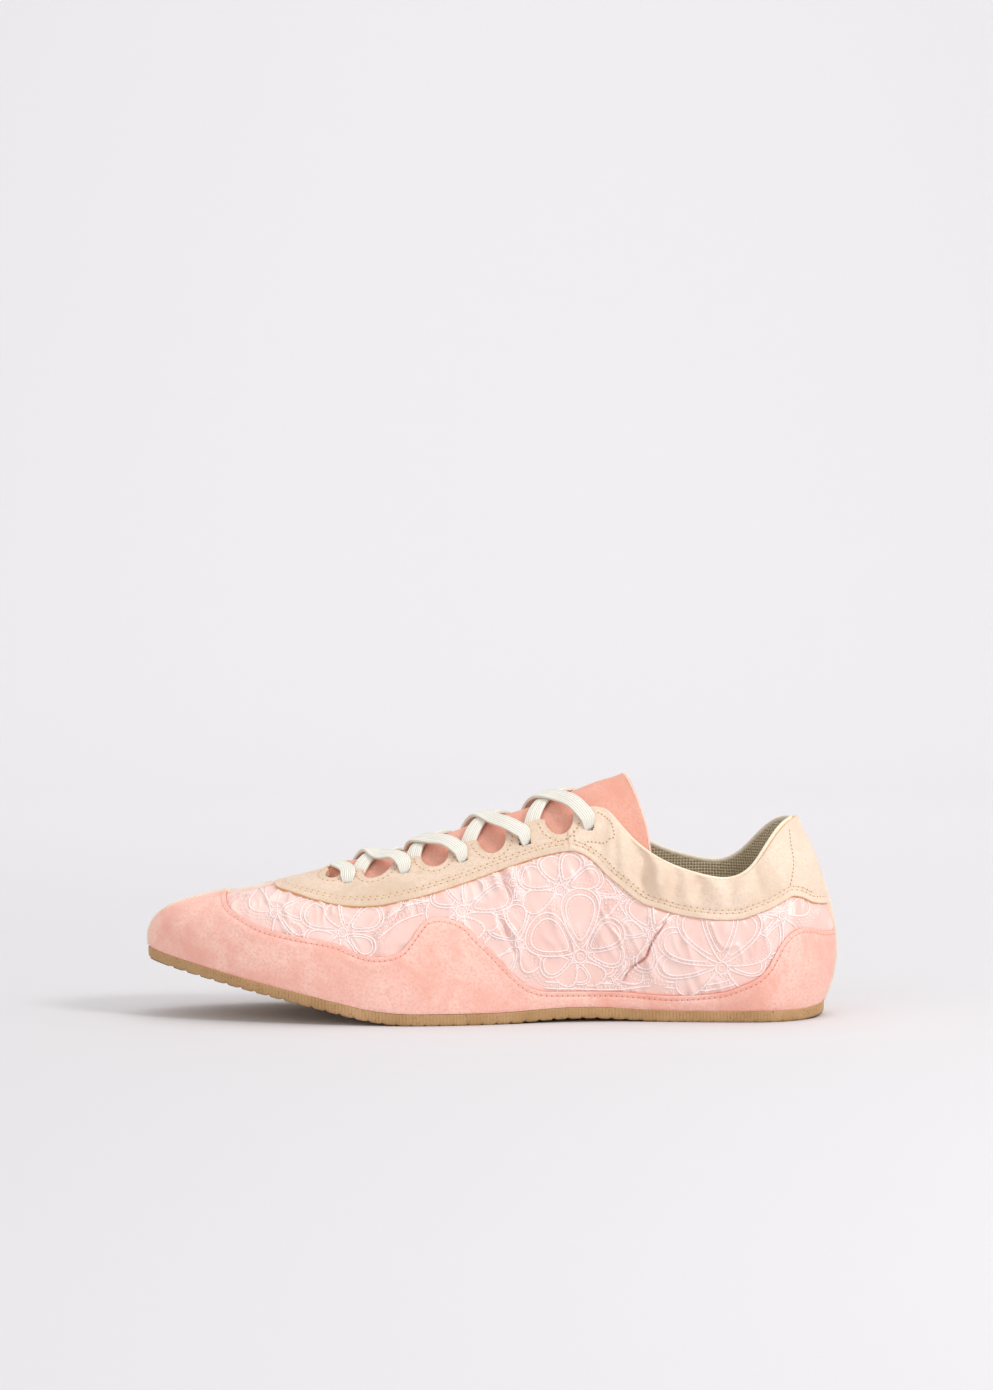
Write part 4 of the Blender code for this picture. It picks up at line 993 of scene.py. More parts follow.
def makeTongueGrid():
    inside = -(shoe["liningDepth"] + tongue["clearance"])
    folds = []
    for row, crownX, crownZ in tongueRows:
        crown = (tipX + crownX * shoe["length"], 0.0, crownZ * tongue["height"])
        outer = [onWall(row, height, inside) for height in (0.80, 0.97)]
        inner = [onWall(ringEnd - row, height, inside) for height in (0.80, 0.97)]
        through = np.array([outer[0], outer[1], crown, inner[1], inner[0]])
        knots = np.concatenate([[0], np.cumsum(np.linalg.norm(np.diff(through, axis=0), axis=1))])
        folds.append(spline(knots, through, np.linspace(0, knots[-1], tongue["across"] + 1)))
    folds = np.array(folds)
    places = np.array([row[0] for row in tongueRows])
    along = spline(places, folds.reshape(len(places), -1), np.linspace(places[0], places[-1], 145))
    along = along.reshape(145, tongue["across"] + 1, 3).transpose(1, 0, 2).reshape(tongue["across"] + 1, -1)
    grid = spline(np.arange(tongue["across"] + 1), along, np.linspace(0, tongue["across"], 97))
    grid = grid.reshape(97, 145, 3).transpose(1, 0, 2)
    normal = np.cross(np.gradient(grid, axis=0), np.gradient(grid, axis=1))
    normal *= np.sign(normal[..., 2:3]) / np.linalg.norm(normal, axis=2)[..., None]
    return grid, normal, places[0], places[-1]


tonguePoints, tongueNormals, tongueFirst, tongueLast = makeTongueGrid()


def onTongue(row, share, out=0.0):
    row, share = np.broadcast_arrays(np.asarray(row, float), np.asarray(share, float))
    span = tongueLast - tongueFirst
    point = readGrid(tonguePoints, row - tongueFirst, share, 144, span, 96, closed=False)
    return point + tongueNormal(row, share) * np.asarray(out)[..., None]


def tongueNormal(row, share):
    row, share = np.broadcast_arrays(np.asarray(row, float), np.asarray(share, float))
    normal = readGrid(tongueNormals, row - tongueFirst, share, 144, tongueLast - tongueFirst, 96, closed=False)
    return normal / np.linalg.norm(normal, axis=-1)[..., None]


def tongueBulge(row, share):
    # its free end bows out between the ridge and each side
    away = onTongue(np.full(share.shape, tongueLast), share) - onTongue(np.full(share.shape, tongueLast - 0.5), share)
    away /= np.linalg.norm(away, axis=-1)[..., None]
    grow = np.clip((row - tongueLast + 3) / 3, 0, 1) ** 3
    bow = tongue["bow"] * np.sin(2 * math.pi * share) ** 2 - tongue["ridgeRound"] * np.exp(-((share - 0.5) / 0.05) ** 2)
    return away * (grow * bow)[..., None]


def makeTongue():
    row = np.linspace(tongueFirst, tongueLast, 150)
    share = np.linspace(0, 1, 90)
    loopShare = np.concatenate([share, share[::-1]])
    face = np.concatenate([np.ones(90), np.zeros(90)])
    # rounded at its side edges and at its two ends
    side = np.sqrt(np.clip(1 - (1 - np.clip(np.minimum(loopShare, 1 - loopShare) * 60 / 1.3, 0, 1)) ** 2, 0, 1))
    end = np.minimum(row - row[0], row[-1] - row)
    end = np.sqrt(np.clip(1 - (1 - np.clip(end * 12 / 1.0, 0, 1)) ** 2, 0, 1))
    half = tongue["thickness"] / 2 * side[None, :] * end[:, None]
    out = -tongue["thickness"] / 2 + np.where(face[None, :] > 0.5, half, -half)
    rows, shares = np.broadcast_arrays(row[:, None], loopShare[None, :])
    grid = onTongue(rows, shares, out) + tongueBulge(rows, shares)
    grid = grid + tongueNormal(rows, shares) * (0.12 * softNoise(grid, 12.0, 12))[..., None] * face[None, :, None]
    piece = gridPiece("tongue_suede", grid, finishes["tongue"], closedRows=True)
    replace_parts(piece, "tongue")
    share = np.linspace(0.015, 0.985, 90)
    last = np.full(90, tongueLast - 0.012)
    line = onTongue(last, share, -0.62) + tongueBulge(last, share)
    tubesPiece("tongue_edge", [(line, tongueNormal(np.full(90, tongueLast), share), 1.0, 1.5)],
               finishes["paleEdge"], sides=10)


makeTongue()
print("stage: lining, strips and tongue")

# ---- lace
lace = {"width": 6.0, "thickness": 1.6, "ribs": 5, "ribDepth": 0.13, "rise": 0.8, "rest": 0.5, "tabCorner": 0.20,
        "barShare": 0.279, "gap": 0.3}


def wallStop(row, height, out):
    return onWall(row, height, out), wallNormal(row, height)


def tongueStop(row, share, out):
    return onTongue(row, share, out), tongueNormal(row, share)


def overTab(tab, inner, layer):
    # over the front corner of a tab to just above its lace hole
    clear = lace["gap"] + shoe["suede"] + lace["gap"] + layer
    corner, hole = tab - lace["tabCorner"], tab - tabs["holeShift"]
    if inner:
        corner, hole = ringEnd - corner, ringEnd - hole
    return [wallStop(corner, 1.0, clear + lace["rise"]), wallStop(hole, eyeletShare(hole) + 0.035, clear + lace["rest"])]


def intoHole(tab, inner):
    # the turn from the face of the tab down through its hole
    hole = tab - tabs["holeShift"]
    if inner:
        hole = ringEnd - hole
    base = eyeletShare(hole)
    drop = 1.0 / wallLength(hole)
    return [onWall(hole, base + 0.5 * drop, 1.9), onWall(hole, base - 0.6 * drop, 0.7),
            onWall(hole, base - 0.9 * drop, -1.6)]


def sweepLace(name, points, normals, widths, thicks):
    # a flat ribbed ribbon along a route; its map holds lace widths across and millimetres along
    along = np.gradient(points, axis=0)
    along /= np.linalg.norm(along, axis=1)[:, None]
    side = np.cross(along, normals)
    side /= np.linalg.norm(side, axis=1)[:, None]
    up = np.cross(side, along)
    turn = np.linspace(0, 2 * math.pi, 36, endpoint=False)
    x = np.sign(np.cos(turn)) * np.abs(np.cos(turn)) ** 0.75
    y = np.sign(np.sin(turn)) * np.abs(np.sin(turn)) ** 0.55
    y = y * (1 + lace["ribDepth"] * np.cos(x * math.pi * lace["ribs"]))
    grid = (points[:, None] + (x[None, :] * widths[:, None] / 2)[..., None] * side[:, None]
            + (y[None, :] * thicks[:, None] / 2)[..., None] * up[:, None])
    run = np.concatenate([[0], np.cumsum(np.linalg.norm(np.diff(points, axis=0), axis=1))])
    uv = np.stack(np.broadcast_arrays((x[None, :] + 1) / 2, run[:, None]), axis=-1)
    return gridPiece(name, grid, finishes["lace"], uv=uv, closedRows=True)


def laceRoute(stops, startHole=None, endHole=None):
    # the visible run on its normals, then the turns into the holes keep the ribbon's own direction
    through = np.array([np.concatenate(stop) for stop in stops])
    line = smoothLine(through, 0.8)
    points, normals = line[:, :3], line[:, 3:]
    widths = np.full(len(points), lace["width"])
    thicks = np.full(len(points), lace["thickness"])
    for hole, atEnd in ((startHole, False), (endHole, True)):
        if hole is None:
            continue
        turn = np.array(hole)
        tail = points[[-4, -1]] if atEnd else points[[3, 0]]
        bent = smoothLine(np.concatenate([tail, turn]), 0.5)
        bent = bent[np.linalg.norm(bent - tail[0], axis=1) > np.linalg.norm(tail[1] - tail[0])]
        across = np.cross(points[-1] - points[-4], normals[-1]) if atEnd else np.cross(points[3] - points[0], normals[0])
        way = np.gradient(bent, axis=0)
        bentNormals = np.cross(across, way if atEnd else -way)
        fade = np.linspace(0, 1, len(bent))
        newWidths = lace["width"] + (3.9 - lace["width"]) * np.clip(fade * 1.6, 0, 1)
        newThicks = lace["thickness"] + 0.25 * fade
        if atEnd:
            points, normals = np.concatenate([points, bent]), np.concatenate([normals, bentNormals])
            widths, thicks = np.concatenate([widths, newWidths]), np.concatenate([thicks, newThicks])
        else:
            points = np.concatenate([bent[::-1], points])
            normals = np.concatenate([bentNormals[::-1], normals])
            widths, thicks = np.concatenate([newWidths[::-1], widths]), np.concatenate([newThicks[::-1], thicks])
    # even out the joint between the two
    for _ in range(6):
        points[1:-1] = (points[:-2] + 2 * points[1:-1] + points[2:]) / 4
        normals /= np.linalg.norm(normals, axis=1)[:, None]
        normals[1:-1] = (normals[:-2] + 2 * normals[1:-1] + normals[2:]) / 4
    return points, normals, widths, thicks


# each strand over the tongue: share across, wall line past its tab, height over the tongue
overStops = [(0.19, -0.12, -0.45), (0.24, -0.03, -0.2), (0.30, 0.05, 0.5), (0.50, 0.28, 0.8), (0.63, 0.53, 1.3)]
underStops = [(0.19, 0.00, -0.45), (0.24, 0.06, -0.2), (0.30, 0.12, 0.5), (0.41, 0.24, 0.5), (0.50, 0.40, 0.5),
              (0.63, 0.66, 1.3)]


def crossing(tab, inner, layer):
    stops = []
    for share, past, out in (underStops if inner else overStops):
        stops.append(tongueStop(tab + past, share if inner else 1 - share,
                                lace["gap"] + out + layer + lace["thickness"] / 2))
    return laceRoute(stops + [(p + n * lace["thickness"] / 2, n) for p, n in overTab(tab + 1, inner, layer * 0.3)],
                     endHole=intoHole(tab + 1, inner))


def frontBar():
    # lies close on the facing's front edge
    tab = tabRows[0]
    close = shoe["suede"] + 0.1 + lace["thickness"] / 2
    height = onWall(0.0, 1.0)[2] + close
    crown = (np.array([tipX + lace["barShare"] * shoe["length"], 0.0, height]), np.array([-0.25, 0.0, 0.97]))
    half = []
    for inner in (False, True):
        corner, hole = tab - lace["tabCorner"], tab - tabs["holeShift"]
        if inner:
            corner, hole = ringEnd - corner, ringEnd - hole
        half.append([wallStop(corner, 1.0, close), wallStop(hole, eyeletShare(hole) + 0.03, close + 0.5)])
    return laceRoute(half[0][::-1] + [crown] + half[1], intoHole(tab, False), intoHole(tab, True))


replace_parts(sweepLace("lace_front_bar", *frontBar()), "lace_bar")
for number, tab in enumerate(tabRows[:-1], start=1):
    over = sweepLace(f"lace_over_{number}", *crossing(tab, False, lace["thickness"] * 0.8))
    under = sweepLace(f"lace_under_{number}", *crossing(tab, True, 0.0))
    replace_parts(over, f"lace_crossing_{number}")
print("stage: lace")


# ---- sole
sole = {"pitch": 5.5, "land": 3.2, "groove": 0.75, "rounding": 0.9, "ribPitch": 1.3, "ribDepth": 0.15,
        "topInset": 6.0, "step": 0.55, "across": 64}


def lugDepth(x):
    away = np.abs(np.mod(x + sole["pitch"] / 2, sole["pitch"]) - sole["pitch"] / 2)
    share = np.clip((away - sole["land"] / 2) / ((sole["pitch"] - sole["land"]) / 2), 0, 1)
    inRange = (x > tipX + 1.5 * sole["pitch"]) & (x < shoe["heelSeat"] - 1.5 * sole["pitch"])
    return np.where(inRange, sole["groove"] * np.sin(share * math.pi / 2) ** 1.3, 0)


def makeSole():
    # side wall with its upright ribs, then the tread
    dense = outline(np.linspace(0, 360, 40001))
    run = np.concatenate([[0], np.cumsum(np.linalg.norm(np.diff(dense, axis=0), axis=1))])
    count = int(run[-1] / sole["ribPitch"] * 6)
    angle = np.interp(np.arange(count) * run[-1] / count, run, np.linspace(0, 360, 40001))
    plan, out = outline(angle), outlineNormal(angle)
    place = np.arange(count) * run[-1] / count
    ribs = int(run[-1] / sole["ribPitch"])
    rib = sole["ribDepth"] * np.cos(place / run[-1] * ribs * 2 * math.pi)
    rib = rib * (0.75 + 0.25 * np.sin(place * 0.9) * np.sin(place * 0.37))
    rise = floorRise(plan[:, 0])
    worn = 0.5 + 0.35 * np.sin(plan[:, 0] * 1.7) * np.sin(plan[:, 0] * 0.61 + 1)  # the grooves run out unevenly
    low = rise + lugDepth(plan[:, 0]) * worn
    top = rise + soleShape["thickness"]
    ease = sole["rounding"]
    inset = [sole["topInset"], 0.35, 0.08, 0.0, 0.0, 0.0, 0.0, 0.08, 0.35, ease, 2.6]
    level = [0.0, 0.0, -0.08, -0.35]
    columns = []
    for k, away in enumerate(inset):
        if k < 4:
            z = top + level[k]
        elif k < 7:
            z = top - 0.35 + (low + ease - top + 0.35) * (k - 3) / 4
        else:
            z = low + (ease, 0.30 * ease, 0.0, 0.0)[k - 7]
        relief = rib if 3 <= k <= 7 else 0 * rib
        edge = plan + (relief - away)[:, None] * out
        columns.append(np.column_stack([edge, z + 0 * edge[:, 0]]))
    side = np.stack(columns, axis=1)
    sideFaces = gridFaces(count, len(inset), True)
    x = np.concatenate([[tipX + 0.9], np.arange(tipX + 1.5, shoe["heelSeat"] - 1.2, sole["step"]), [shoe["heelSeat"] - 0.9]])
    outer, inner = halfWidths((x - tipX) / shoe["length"])
    slim = np.minimum(ease, (inner - outer) / 2 - 0.05)
    across = np.linspace(0, 1, sole["across"])[None, :]
    y = (outer + slim)[:, None] * (1 - across) + (inner - slim)[:, None] * across
    fine = 0.10 * (np.sin(y * 2.6 + 1.5 * np.sin(x * 0.9)[:, None]) > 0.3)
    onLand = (lugDepth(x) < 0.02)[:, None] & (np.minimum(across, 1 - across) > 0.04)
    z = (floorRise(x) + lugDepth(x))[:, None] + fine * onLand
    tread = np.stack(np.broadcast_arrays(x[:, None], y, z), axis=-1)
    treadFaces = gridFaces(len(x), sole["across"])[:, ::-1] + count * len(inset)
    points = np.concatenate([side.reshape(-1, 3), tread.reshape(-1, 3)])
    piece = newMesh("rubber_sole", points, [sideFaces, treadFaces], finishes["rubber"])
    piece.data.set_sharp_from_angle(angle=math.radians(50))
    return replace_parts(piece, "outsole")


makeSole()


def makeSock():
    # the sock lining follows the sole and turns up a little where it meets the wall
    inset = shoe["baseInset"] + shoe["liningDepth"] + 0.3
    share = np.linspace(0.0, 1.0, 240)
    share = (1 - np.cos(share * math.pi)) / 2
    outer, inner = halfWidths(share)
    x = tipX + inset + share * (shoe["length"] - 2 * inset)
    slim = np.minimum(inset, (inner - outer) / 2 - 0.05)
    across = np.linspace(0, 1, 80)[None, :]
    y = (outer + slim)[:, None] * (1 - across) + (inner - slim)[:, None] * across
    edge = np.minimum(y - (outer + slim)[:, None], (inner - slim)[:, None] - y)
    z = (floorRise(x) + soleShape["thickness"] + 2.7)[:, None] + 1.3 * np.exp(-(edge / 5.0) ** 1.5)
    points = np.stack(np.broadcast_arrays(x[:, None], y, z), axis=-1)
    piece = gridPiece("sock_lining", points, finishes["lining"], uv=points[..., :2])
    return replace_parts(piece, "insole")


makeSock()
print("stage: sole and sock lining")


# stitches: each a short dash of thread between two needle holes
sewing = {"width": 0.46, "height": 0.3, "share": 0.74, "hole": 0.36}


def wallPlace(points, row, height, sideOnly=False):
    # the wall's place under each point, closed in on from a guess; sideOnly compares x and z alone
    keep = [0, 2] if sideOnly else [0, 1, 2]
    for _ in range(5):
        byRow = (onWall(row + 0.02, height) - onWall(row - 0.02, height))[..., keep] / 0.04
        byHeight = (onWall(row, height + 0.01) - onWall(row, height - 0.01))[..., keep] / 0.02
        off = (points - onWall(row, height))[..., keep]
        rr, rh, hh = (byRow**2).sum(-1), (byRow * byHeight).sum(-1), (byHeight**2).sum(-1)
        ro, ho = (byRow * off).sum(-1), (byHeight * off).sum(-1)
        size = rr * hh - rh**2 + 1e-9
        row = row + np.clip((hh * ro - rh * ho) / size, -0.5, 0.5)
        height = np.clip(height + np.clip((rr * ho - rh * ro) / size, -0.1, 0.1), 0.011, 0.989)
    return row, height


def besideEdge(rows, heights, distance):
    # the places at a set distance above an edge, or below it for a negative distance
    edge = onWall(rows, heights)
    along = np.gradient(edge, axis=0)
    up = np.cross(wallNormal(rows, heights), along)
    up /= np.linalg.norm(up, axis=1)[:, None]
    return wallPlace(edge + distance * up, rows, heights + distance / wallLength(rows))


def suedeSurface(relief, low, high):
    def surface(row, height):
        length = wallLength(row)
        out = shoe["suede"] + 0.02 + relief(row, height, (height - low(row)) * length, (high(row) - height) * length)
        return onWall(row, height, out)
    return surface


def creamRelief(row, height, fromLow, fromHigh):
    folded = np.minimum(np.mod(row, ringEnd), ringEnd - np.mod(row, ringEnd))
    return np.where(folded < seamRow, facingRelief(row, height, fromLow, fromHigh),
                    collarRelief(row, height, fromLow, fromHigh))


onMudguard = suedeSurface(mudguardRelief, lambda row: 0 * row, lambda row: alongRing(mudguardTop, row))
onCream = suedeSurface(creamRelief, lambda row: alongRing(eyestayFoot, row), edgeShare)


def stitchRow(row, height, surface, pitch, shift=0.5):
    points, normals = surface(row, height), wallNormal(row, height)
    run = np.concatenate([[0], np.cumsum(np.linalg.norm(np.diff(points, axis=0), axis=1))])
    count = max(1, int(run[-1] / pitch))
    threads, holes = [], []
    for k in range(count):
        at = (k + shift + np.array([*np.linspace(-0.5, 0.5, 5) * sewing["share"], 0.5])) * run[-1] / count
        point = np.column_stack([np.interp(at, run, points[:, i]) for i in range(3)])
        normal = np.column_stack([np.interp(at, run, normals[:, i]) for i in range(3)])
        lift = np.array([-0.2, 0.0, 0.05, 0.0, -0.2])[:, None]
        threads.append((point[:5] + normal[:5] * lift, normal[:5], sewing["width"], sewing["height"]))
        holes.append((point[5], normal[5]))
    return threads, holes


def sew(name, rowsOfStitches, thread, hole):
    threads = [t for part in rowsOfStitches for t in part[0]]
    holes = [h for part in rowsOfStitches for h in part[1]]
    tubesPiece(name, threads, thread, sides=6)
    dotsPiece(f"{name}_holes", holes, sewing["hole"], hole, lift=0.05)


def makeStitches():
    around = np.linspace(0.12, ringEnd - 0.12, 1500)
    sides = [around[(around < heelRow - 0.12)], around[around > heelRow + 0.12]]
    rows = [stitchRow(*besideEdge(part, alongRing(mudguardTop, part), -mudguard["seam"]), onMudguard, mudguard["pitch"])
            for part in sides]
    sew("mudguard_stitches", rows, finishes["pinkThread"], holeShadePink)
    rows = []
    whole = np.linspace(-seamRow + 0.05, seamRow - 0.05, 700)
    collarSides = [np.linspace(seamRow + 0.06, heelRow - 0.12, 500),
                   np.linspace(heelRow + 0.12, ringEnd - seamRow - 0.06, 500)]
    for distance, shift in zip(facing["seams"], (0.3, 0.7)):
        rows.append(stitchRow(*besideEdge(whole, alongRing(eyestayFoot, whole), distance), onCream, facing["pitch"],
                              shift))
    for part in collarSides:
        for distance, shift in zip(collar["seams"], (0.3, 0.7)):
            rows.append(stitchRow(*besideEdge(part, alongRing(eyestayFoot, part), distance), onCream,
                                  collar["pitch"], shift))
    # one row round each scallop
    for number, (middle, half, deep, pitch) in enumerate(cuts):
        for centre in (middle, ringEnd - middle):
            part = centre + (half + 2.2 / pitch) * np.sin(np.linspace(-math.pi / 2, math.pi / 2, 90))
            row, height = besideEdge(part, edgeShare(part), -facing["scallopSeam"])
            rows.append(stitchRow(row, height, onCream, 2.1))
    sew("cream_stitches", rows, finishes["seamThread"], holeShadeCream)
    # the patch of close stitches on the top tab, and the sewn line at the heel
    patches = []
    for line, mirrored in ((sewnLines["tab"], False), (sewnLines["tab"], True), (sewnLines["heel"], False),
                           (sewnLines["heel"], True), (sewnLines["seam"], False), (sewnLines["seam"], True)):
        curve = smoothLine(np.array(line), 0.05)
        row = ringEnd - curve[:, 0] if mirrored else curve[:, 0]
        patches.append(stitchRow(row, edgeShare(row) - curve[:, 1] / wallLength(row), onCream, 1.5))
    sew("top_stitches", patches, finishes["whiteThread"], holeShadeCream)


# ring place and distance below the top edge in mm
sewnLines = {
    "tab": [(7.85, 15.0), (8.10, 15.3), (8.55, 13.5), (8.92, 9.5), (8.85, 6.0), (8.55, 3.6), (8.25, 2.8)],
    "heel": [(15.2, 20.0), (15.6, 13.5), (15.75, 8.0), (15.95, 3.0)],
    "seam": [(seamRow + 0.12, 3.0), (seamRow + 0.12, 6.5), (seamRow + 0.12, 10.0)],
}
makeStitches()
print("stage: stitches")


# embroidery: raised flowers and leaves in one-colour thread, drawn as seen from the side
embroidery = {
    "outline": (0.74, 0.46), "fine": (0.44, 0.36), "step": 0.7, "margin": 1.3, "dash": (0.9, 0.7), "echoes": (1.5, 2.9),
    # centre as shares of length and heel height, ring radius, petals: angle, length, width, lines inside, dashed rows
    "flowers": [
        ((0.637, 0.330), 2.6, [(90, 23, 15, 1, 2), (148, 20, 17, 1, 2), (38, 17, 12, 1, 2), (2, 14, 10, 1, 1),
                               (196, 13, 10, 1, 1), (234, 10, 9, 0, 1), (270, 8, 8, 1, 0), (306, 10, 9, 0, 1),
                               (338, 12, 8, 1, 0)]),
        ((0.842, 0.275), 2.4, [(92, 24, 14, 1, 2), (60, 22, 12, 1, 1), (122, 24, 13, 1, 2), (30, 18, 11, 0, 2),
                               (152, 24, 12, 1, 1), (178, 22, 10, 1, 1), (4, 14, 8, 1, 0), (206, 16, 9, 0, 1),
                               (334, 12, 8, 0, 0)]),
        ((0.465, 0.555), 2.2, [(20, 18, 10, 1, 2), (62, 12, 10, 1, 1), (100, 11, 10, 1, 1), (140, 11, 10, 1, 1),
                               (182, 11, 9, 0, 1), (222, 10, 8, 1, 0), (262, 8, 7, 0, 0), (305, 9, 8, 0, 1),
                               (340, 12, 7, 0, 0)]),
        ((0.293, 0.455), 1.7, [(28, 15, 10, 1, 2), (72, 10, 9, 1, 1), (112, 9, 8, 0, 1), (150, 16, 10, 1, 2),
                               (192, 13, 8, 1, 0), (234, 10, 8, 0, 1), (280, 8, 7, 0, 0), (330, 12, 8, 1, 0)]),
        ((0.608, 0.660), 1.9, [(20, 15, 10, 1, 1), (66, 13, 10, 1, 1), (112, 12, 10, 1, 1), (156, 15, 10, 1, 2),
                               (204, 13, 9, 0, 1), (338, 14, 9, 1, 1)]),
        ((0.193, 0.545), 1.5, [(8, 15, 9, 1, 1), (48, 10, 8, 0, 1), (335, 14, 9, 1, 1), (150, 9, 7, 0, 0),
                               (95, 8, 7, 0, 0), (290, 8, 6, 0, 0)]),
        ((0.548, 0.400), 1.7, [(95, 14, 10, 1, 1), (140, 12, 9, 1, 1), (186, 11, 8, 0, 1), (232, 11, 8, 1, 0),
                               (300, 10, 8, 0, 0)]),
        ((0.742, 0.440), 1.6, [(70, 16, 10, 1, 1), (118, 14, 10, 1, 1), (165, 11, 8, 1, 0), (212, 12, 8, 0, 1),
                               (255, 13, 9, 1, 1), (20, 12, 8, 0, 0)]),
        ((0.930, 0.530), 1.5, [(95, 9, 7, 0, 0), (150, 12, 8, 1, 1), (200, 14, 9, 1, 1), (248, 15, 9, 1, 1),
                               (295, 10, 7, 0, 0), (20, 10, 7, 0, 0), (60, 8, 6, 0, 0)]),
        ((0.385, 0.600), 1.3, [(30, 9, 7, 0, 1), (80, 8, 6, 0, 0), (140, 10, 7, 1, 0), (200, 10, 7, 0, 1)]),
        ((0.540, 0.690), 1.4, [(60, 10, 8, 1, 0), (120, 10, 8, 0, 1), (180, 12, 8, 1, 0), (235, 12, 8, 0, 1),
                               (300, 11, 8, 1, 0)]),
        ((0.700, 0.620), 1.4, [(90, 10, 8, 1, 0), (150, 12, 8, 1, 1), (205, 12, 8, 0, 1), (30, 11, 8, 1, 0)]),
        ((0.880, 0.430), 1.3, [(70, 10, 7, 0, 1), (120, 10, 7, 1, 0), (180, 9, 7, 0, 0), (10, 10, 7, 1, 0)]),
        ((0.690, 0.200), 1.2, [(20, 9, 7, 0, 1), (90, 8, 7, 1, 0), (160, 10, 7, 0, 1)]),
        ((0.240, 0.580), 1.2, [(30, 8, 6, 0, 0), (90, 8, 6, 1, 0), (150, 8, 6, 0, 0), (330, 9, 6, 0, 1)]),
    ],
    # stems drawn as two lines with short rungs between: points as shares, width
    "ribbons": [
        ([(0.340, 0.440), (0.365, 0.510), (0.395, 0.560), (0.432, 0.590)], 3.8),
        ([(0.690, 0.640), (0.705, 0.560), (0.716, 0.480), (0.712, 0.400)], 2.6),
        ([(0.500, 0.700), (0.520, 0.640), (0.532, 0.560), (0.535, 0.470)], 2.8),
        ([(0.225, 0.590), (0.250, 0.560), (0.268, 0.510), (0.272, 0.450)], 2.4),
        ([(0.760, 0.190), (0.800, 0.180), (0.835, 0.185), (0.880, 0.240)], 2.2),
        ([(0.890, 0.500), (0.900, 0.430), (0.902, 0.350), (0.890, 0.270)], 2.6),
        ([(0.585, 0.190), (0.640, 0.180), (0.700, 0.180), (0.740, 0.200)], 2.4),
    ],
}


def petal(centre, angle, start, length, width, scale=1.0):
    # a drop with its point at the flower's ring
    turn = np.linspace(0, 2 * math.pi, 60)
    share = (1 - np.cos(turn)) / 2
    half = np.sin(turn) * (0.30 + 0.70 * share) / 0.74 * width / 2
    middle = start + length * 0.56
    along = middle + (start + length * share - middle) * scale
    half = half * scale
    a = math.radians(angle)
    return np.column_stack([centre[0] + along * math.cos(a) - half * math.sin(a),
                            centre[1] + along * math.sin(a) + half * math.cos(a)])


def dashed(line):
    # short stitches along a line
    run = np.concatenate([[0], np.cumsum(np.linalg.norm(np.diff(line, axis=0), axis=1))])
    dash, gap = embroidery["dash"]
    count = int(run[-1] / (dash + gap))
    for k in range(count):
        at = (k + np.array([0.0, 0.5, 1.0]) * dash / (dash + gap)) * run[-1] / max(count, 1)
        yield np.column_stack([np.interp(at, run, line[:, i]) for i in (0, 1)])


def insideShape(points, shape):
    # which points lie inside a closed outline
    x, z = points[:, 0:1], points[:, 1:2]
    x1, z1 = shape[:, 0][None], shape[:, 1][None]
    x2, z2 = np.roll(shape[:, 0], -1)[None], np.roll(shape[:, 1], -1)[None]
    crosses = ((z1 > z) != (z2 > z)) & (x < (x2 - x1) * (z - z1) / (z2 - z1 + 1e-12) + x1)
    return crosses.sum(axis=1) % 2 == 1


def evenly(line, step):
    run = np.concatenate([[0], np.cumsum(np.linalg.norm(np.diff(line, axis=0), axis=1))])
    at = np.linspace(0, run[-1], max(3, int(run[-1] / step)))
    return np.column_stack([np.interp(at, run, line[:, i]) for i in (0, 1)])


def drawing():
    # all lines of the embroidery; what lies nearer to the front hides what is drawn later
    lines, covers = [], []

    def draw(line, kind):
        line = evenly(line, embroidery["step"])
        shown = np.ones(len(line), bool)
        for shape in covers:
            if (line.max(0) > shape.min(0)).all() and (line.min(0) < shape.max(0)).all():
                shown &= ~insideShape(line, shape)
        edges = np.flatnonzero(np.diff(np.concatenate([[0], shown.astype(int), [0]]))).reshape(-1, 2)
        lines.extend((line[first:last], kind) for first, last in edges if last - first > 2)

    for centre, ringRadius, petals in embroidery["flowers"]:
        centre = np.array(sideView(*centre))
        turn = np.linspace(0, 2 * math.pi, 26)
        circle = np.column_stack([np.cos(turn), np.sin(turn)])
        draw(centre + circle * ringRadius, "outline")
        draw(centre + circle * ringRadius * 0.5, "fine")
        covers.append(centre + circle * ringRadius)
        for angle, length, width, inner, dots in petals:
            shape = [petal(centre, angle, ringRadius + 0.4, length, width, scale) for scale in (1.0, 0.76, 0.5)]
            draw(shape[0], "outline")
            for k in range(inner):
                draw(shape[1 + k], "outline")
            for k in range(dots):
                between = petal(centre, angle, ringRadius + 0.4, length, width, 0.88 - 0.25 * k)
                for dash in dashed(between):
                    draw(dash, "fine")
            covers.append(shape[0])
        for angle, length, width, inner, dots in petals:
            for echo in embroidery["echoes"]:
                wider = 1 + 2 * echo / width
                for dash in dashed(petal(centre, angle, ringRadius + 0.4, length, width, wider)):
                    draw(dash, "fine")
    for line, width in embroidery["ribbons"]:
        curve = smoothLine(np.column_stack(sideView(*np.array(line).T)), 0.5)
        way = np.gradient(curve, axis=0)
        way /= np.linalg.norm(way, axis=1)[:, None]
        beside = np.column_stack([-way[:, 1], way[:, 0]]) * width / 2
        for side in (-1, 1):
            draw(curve + side * beside, "outline")
        for k in range(2, len(curve) - 2, 3):
            draw(curve[k] + np.outer(np.array([-0.7, 0.0, 0.7]), beside[k]), "fine")
        covers.append(np.concatenate([curve + beside, (curve - beside)[::-1]]))
    return lines


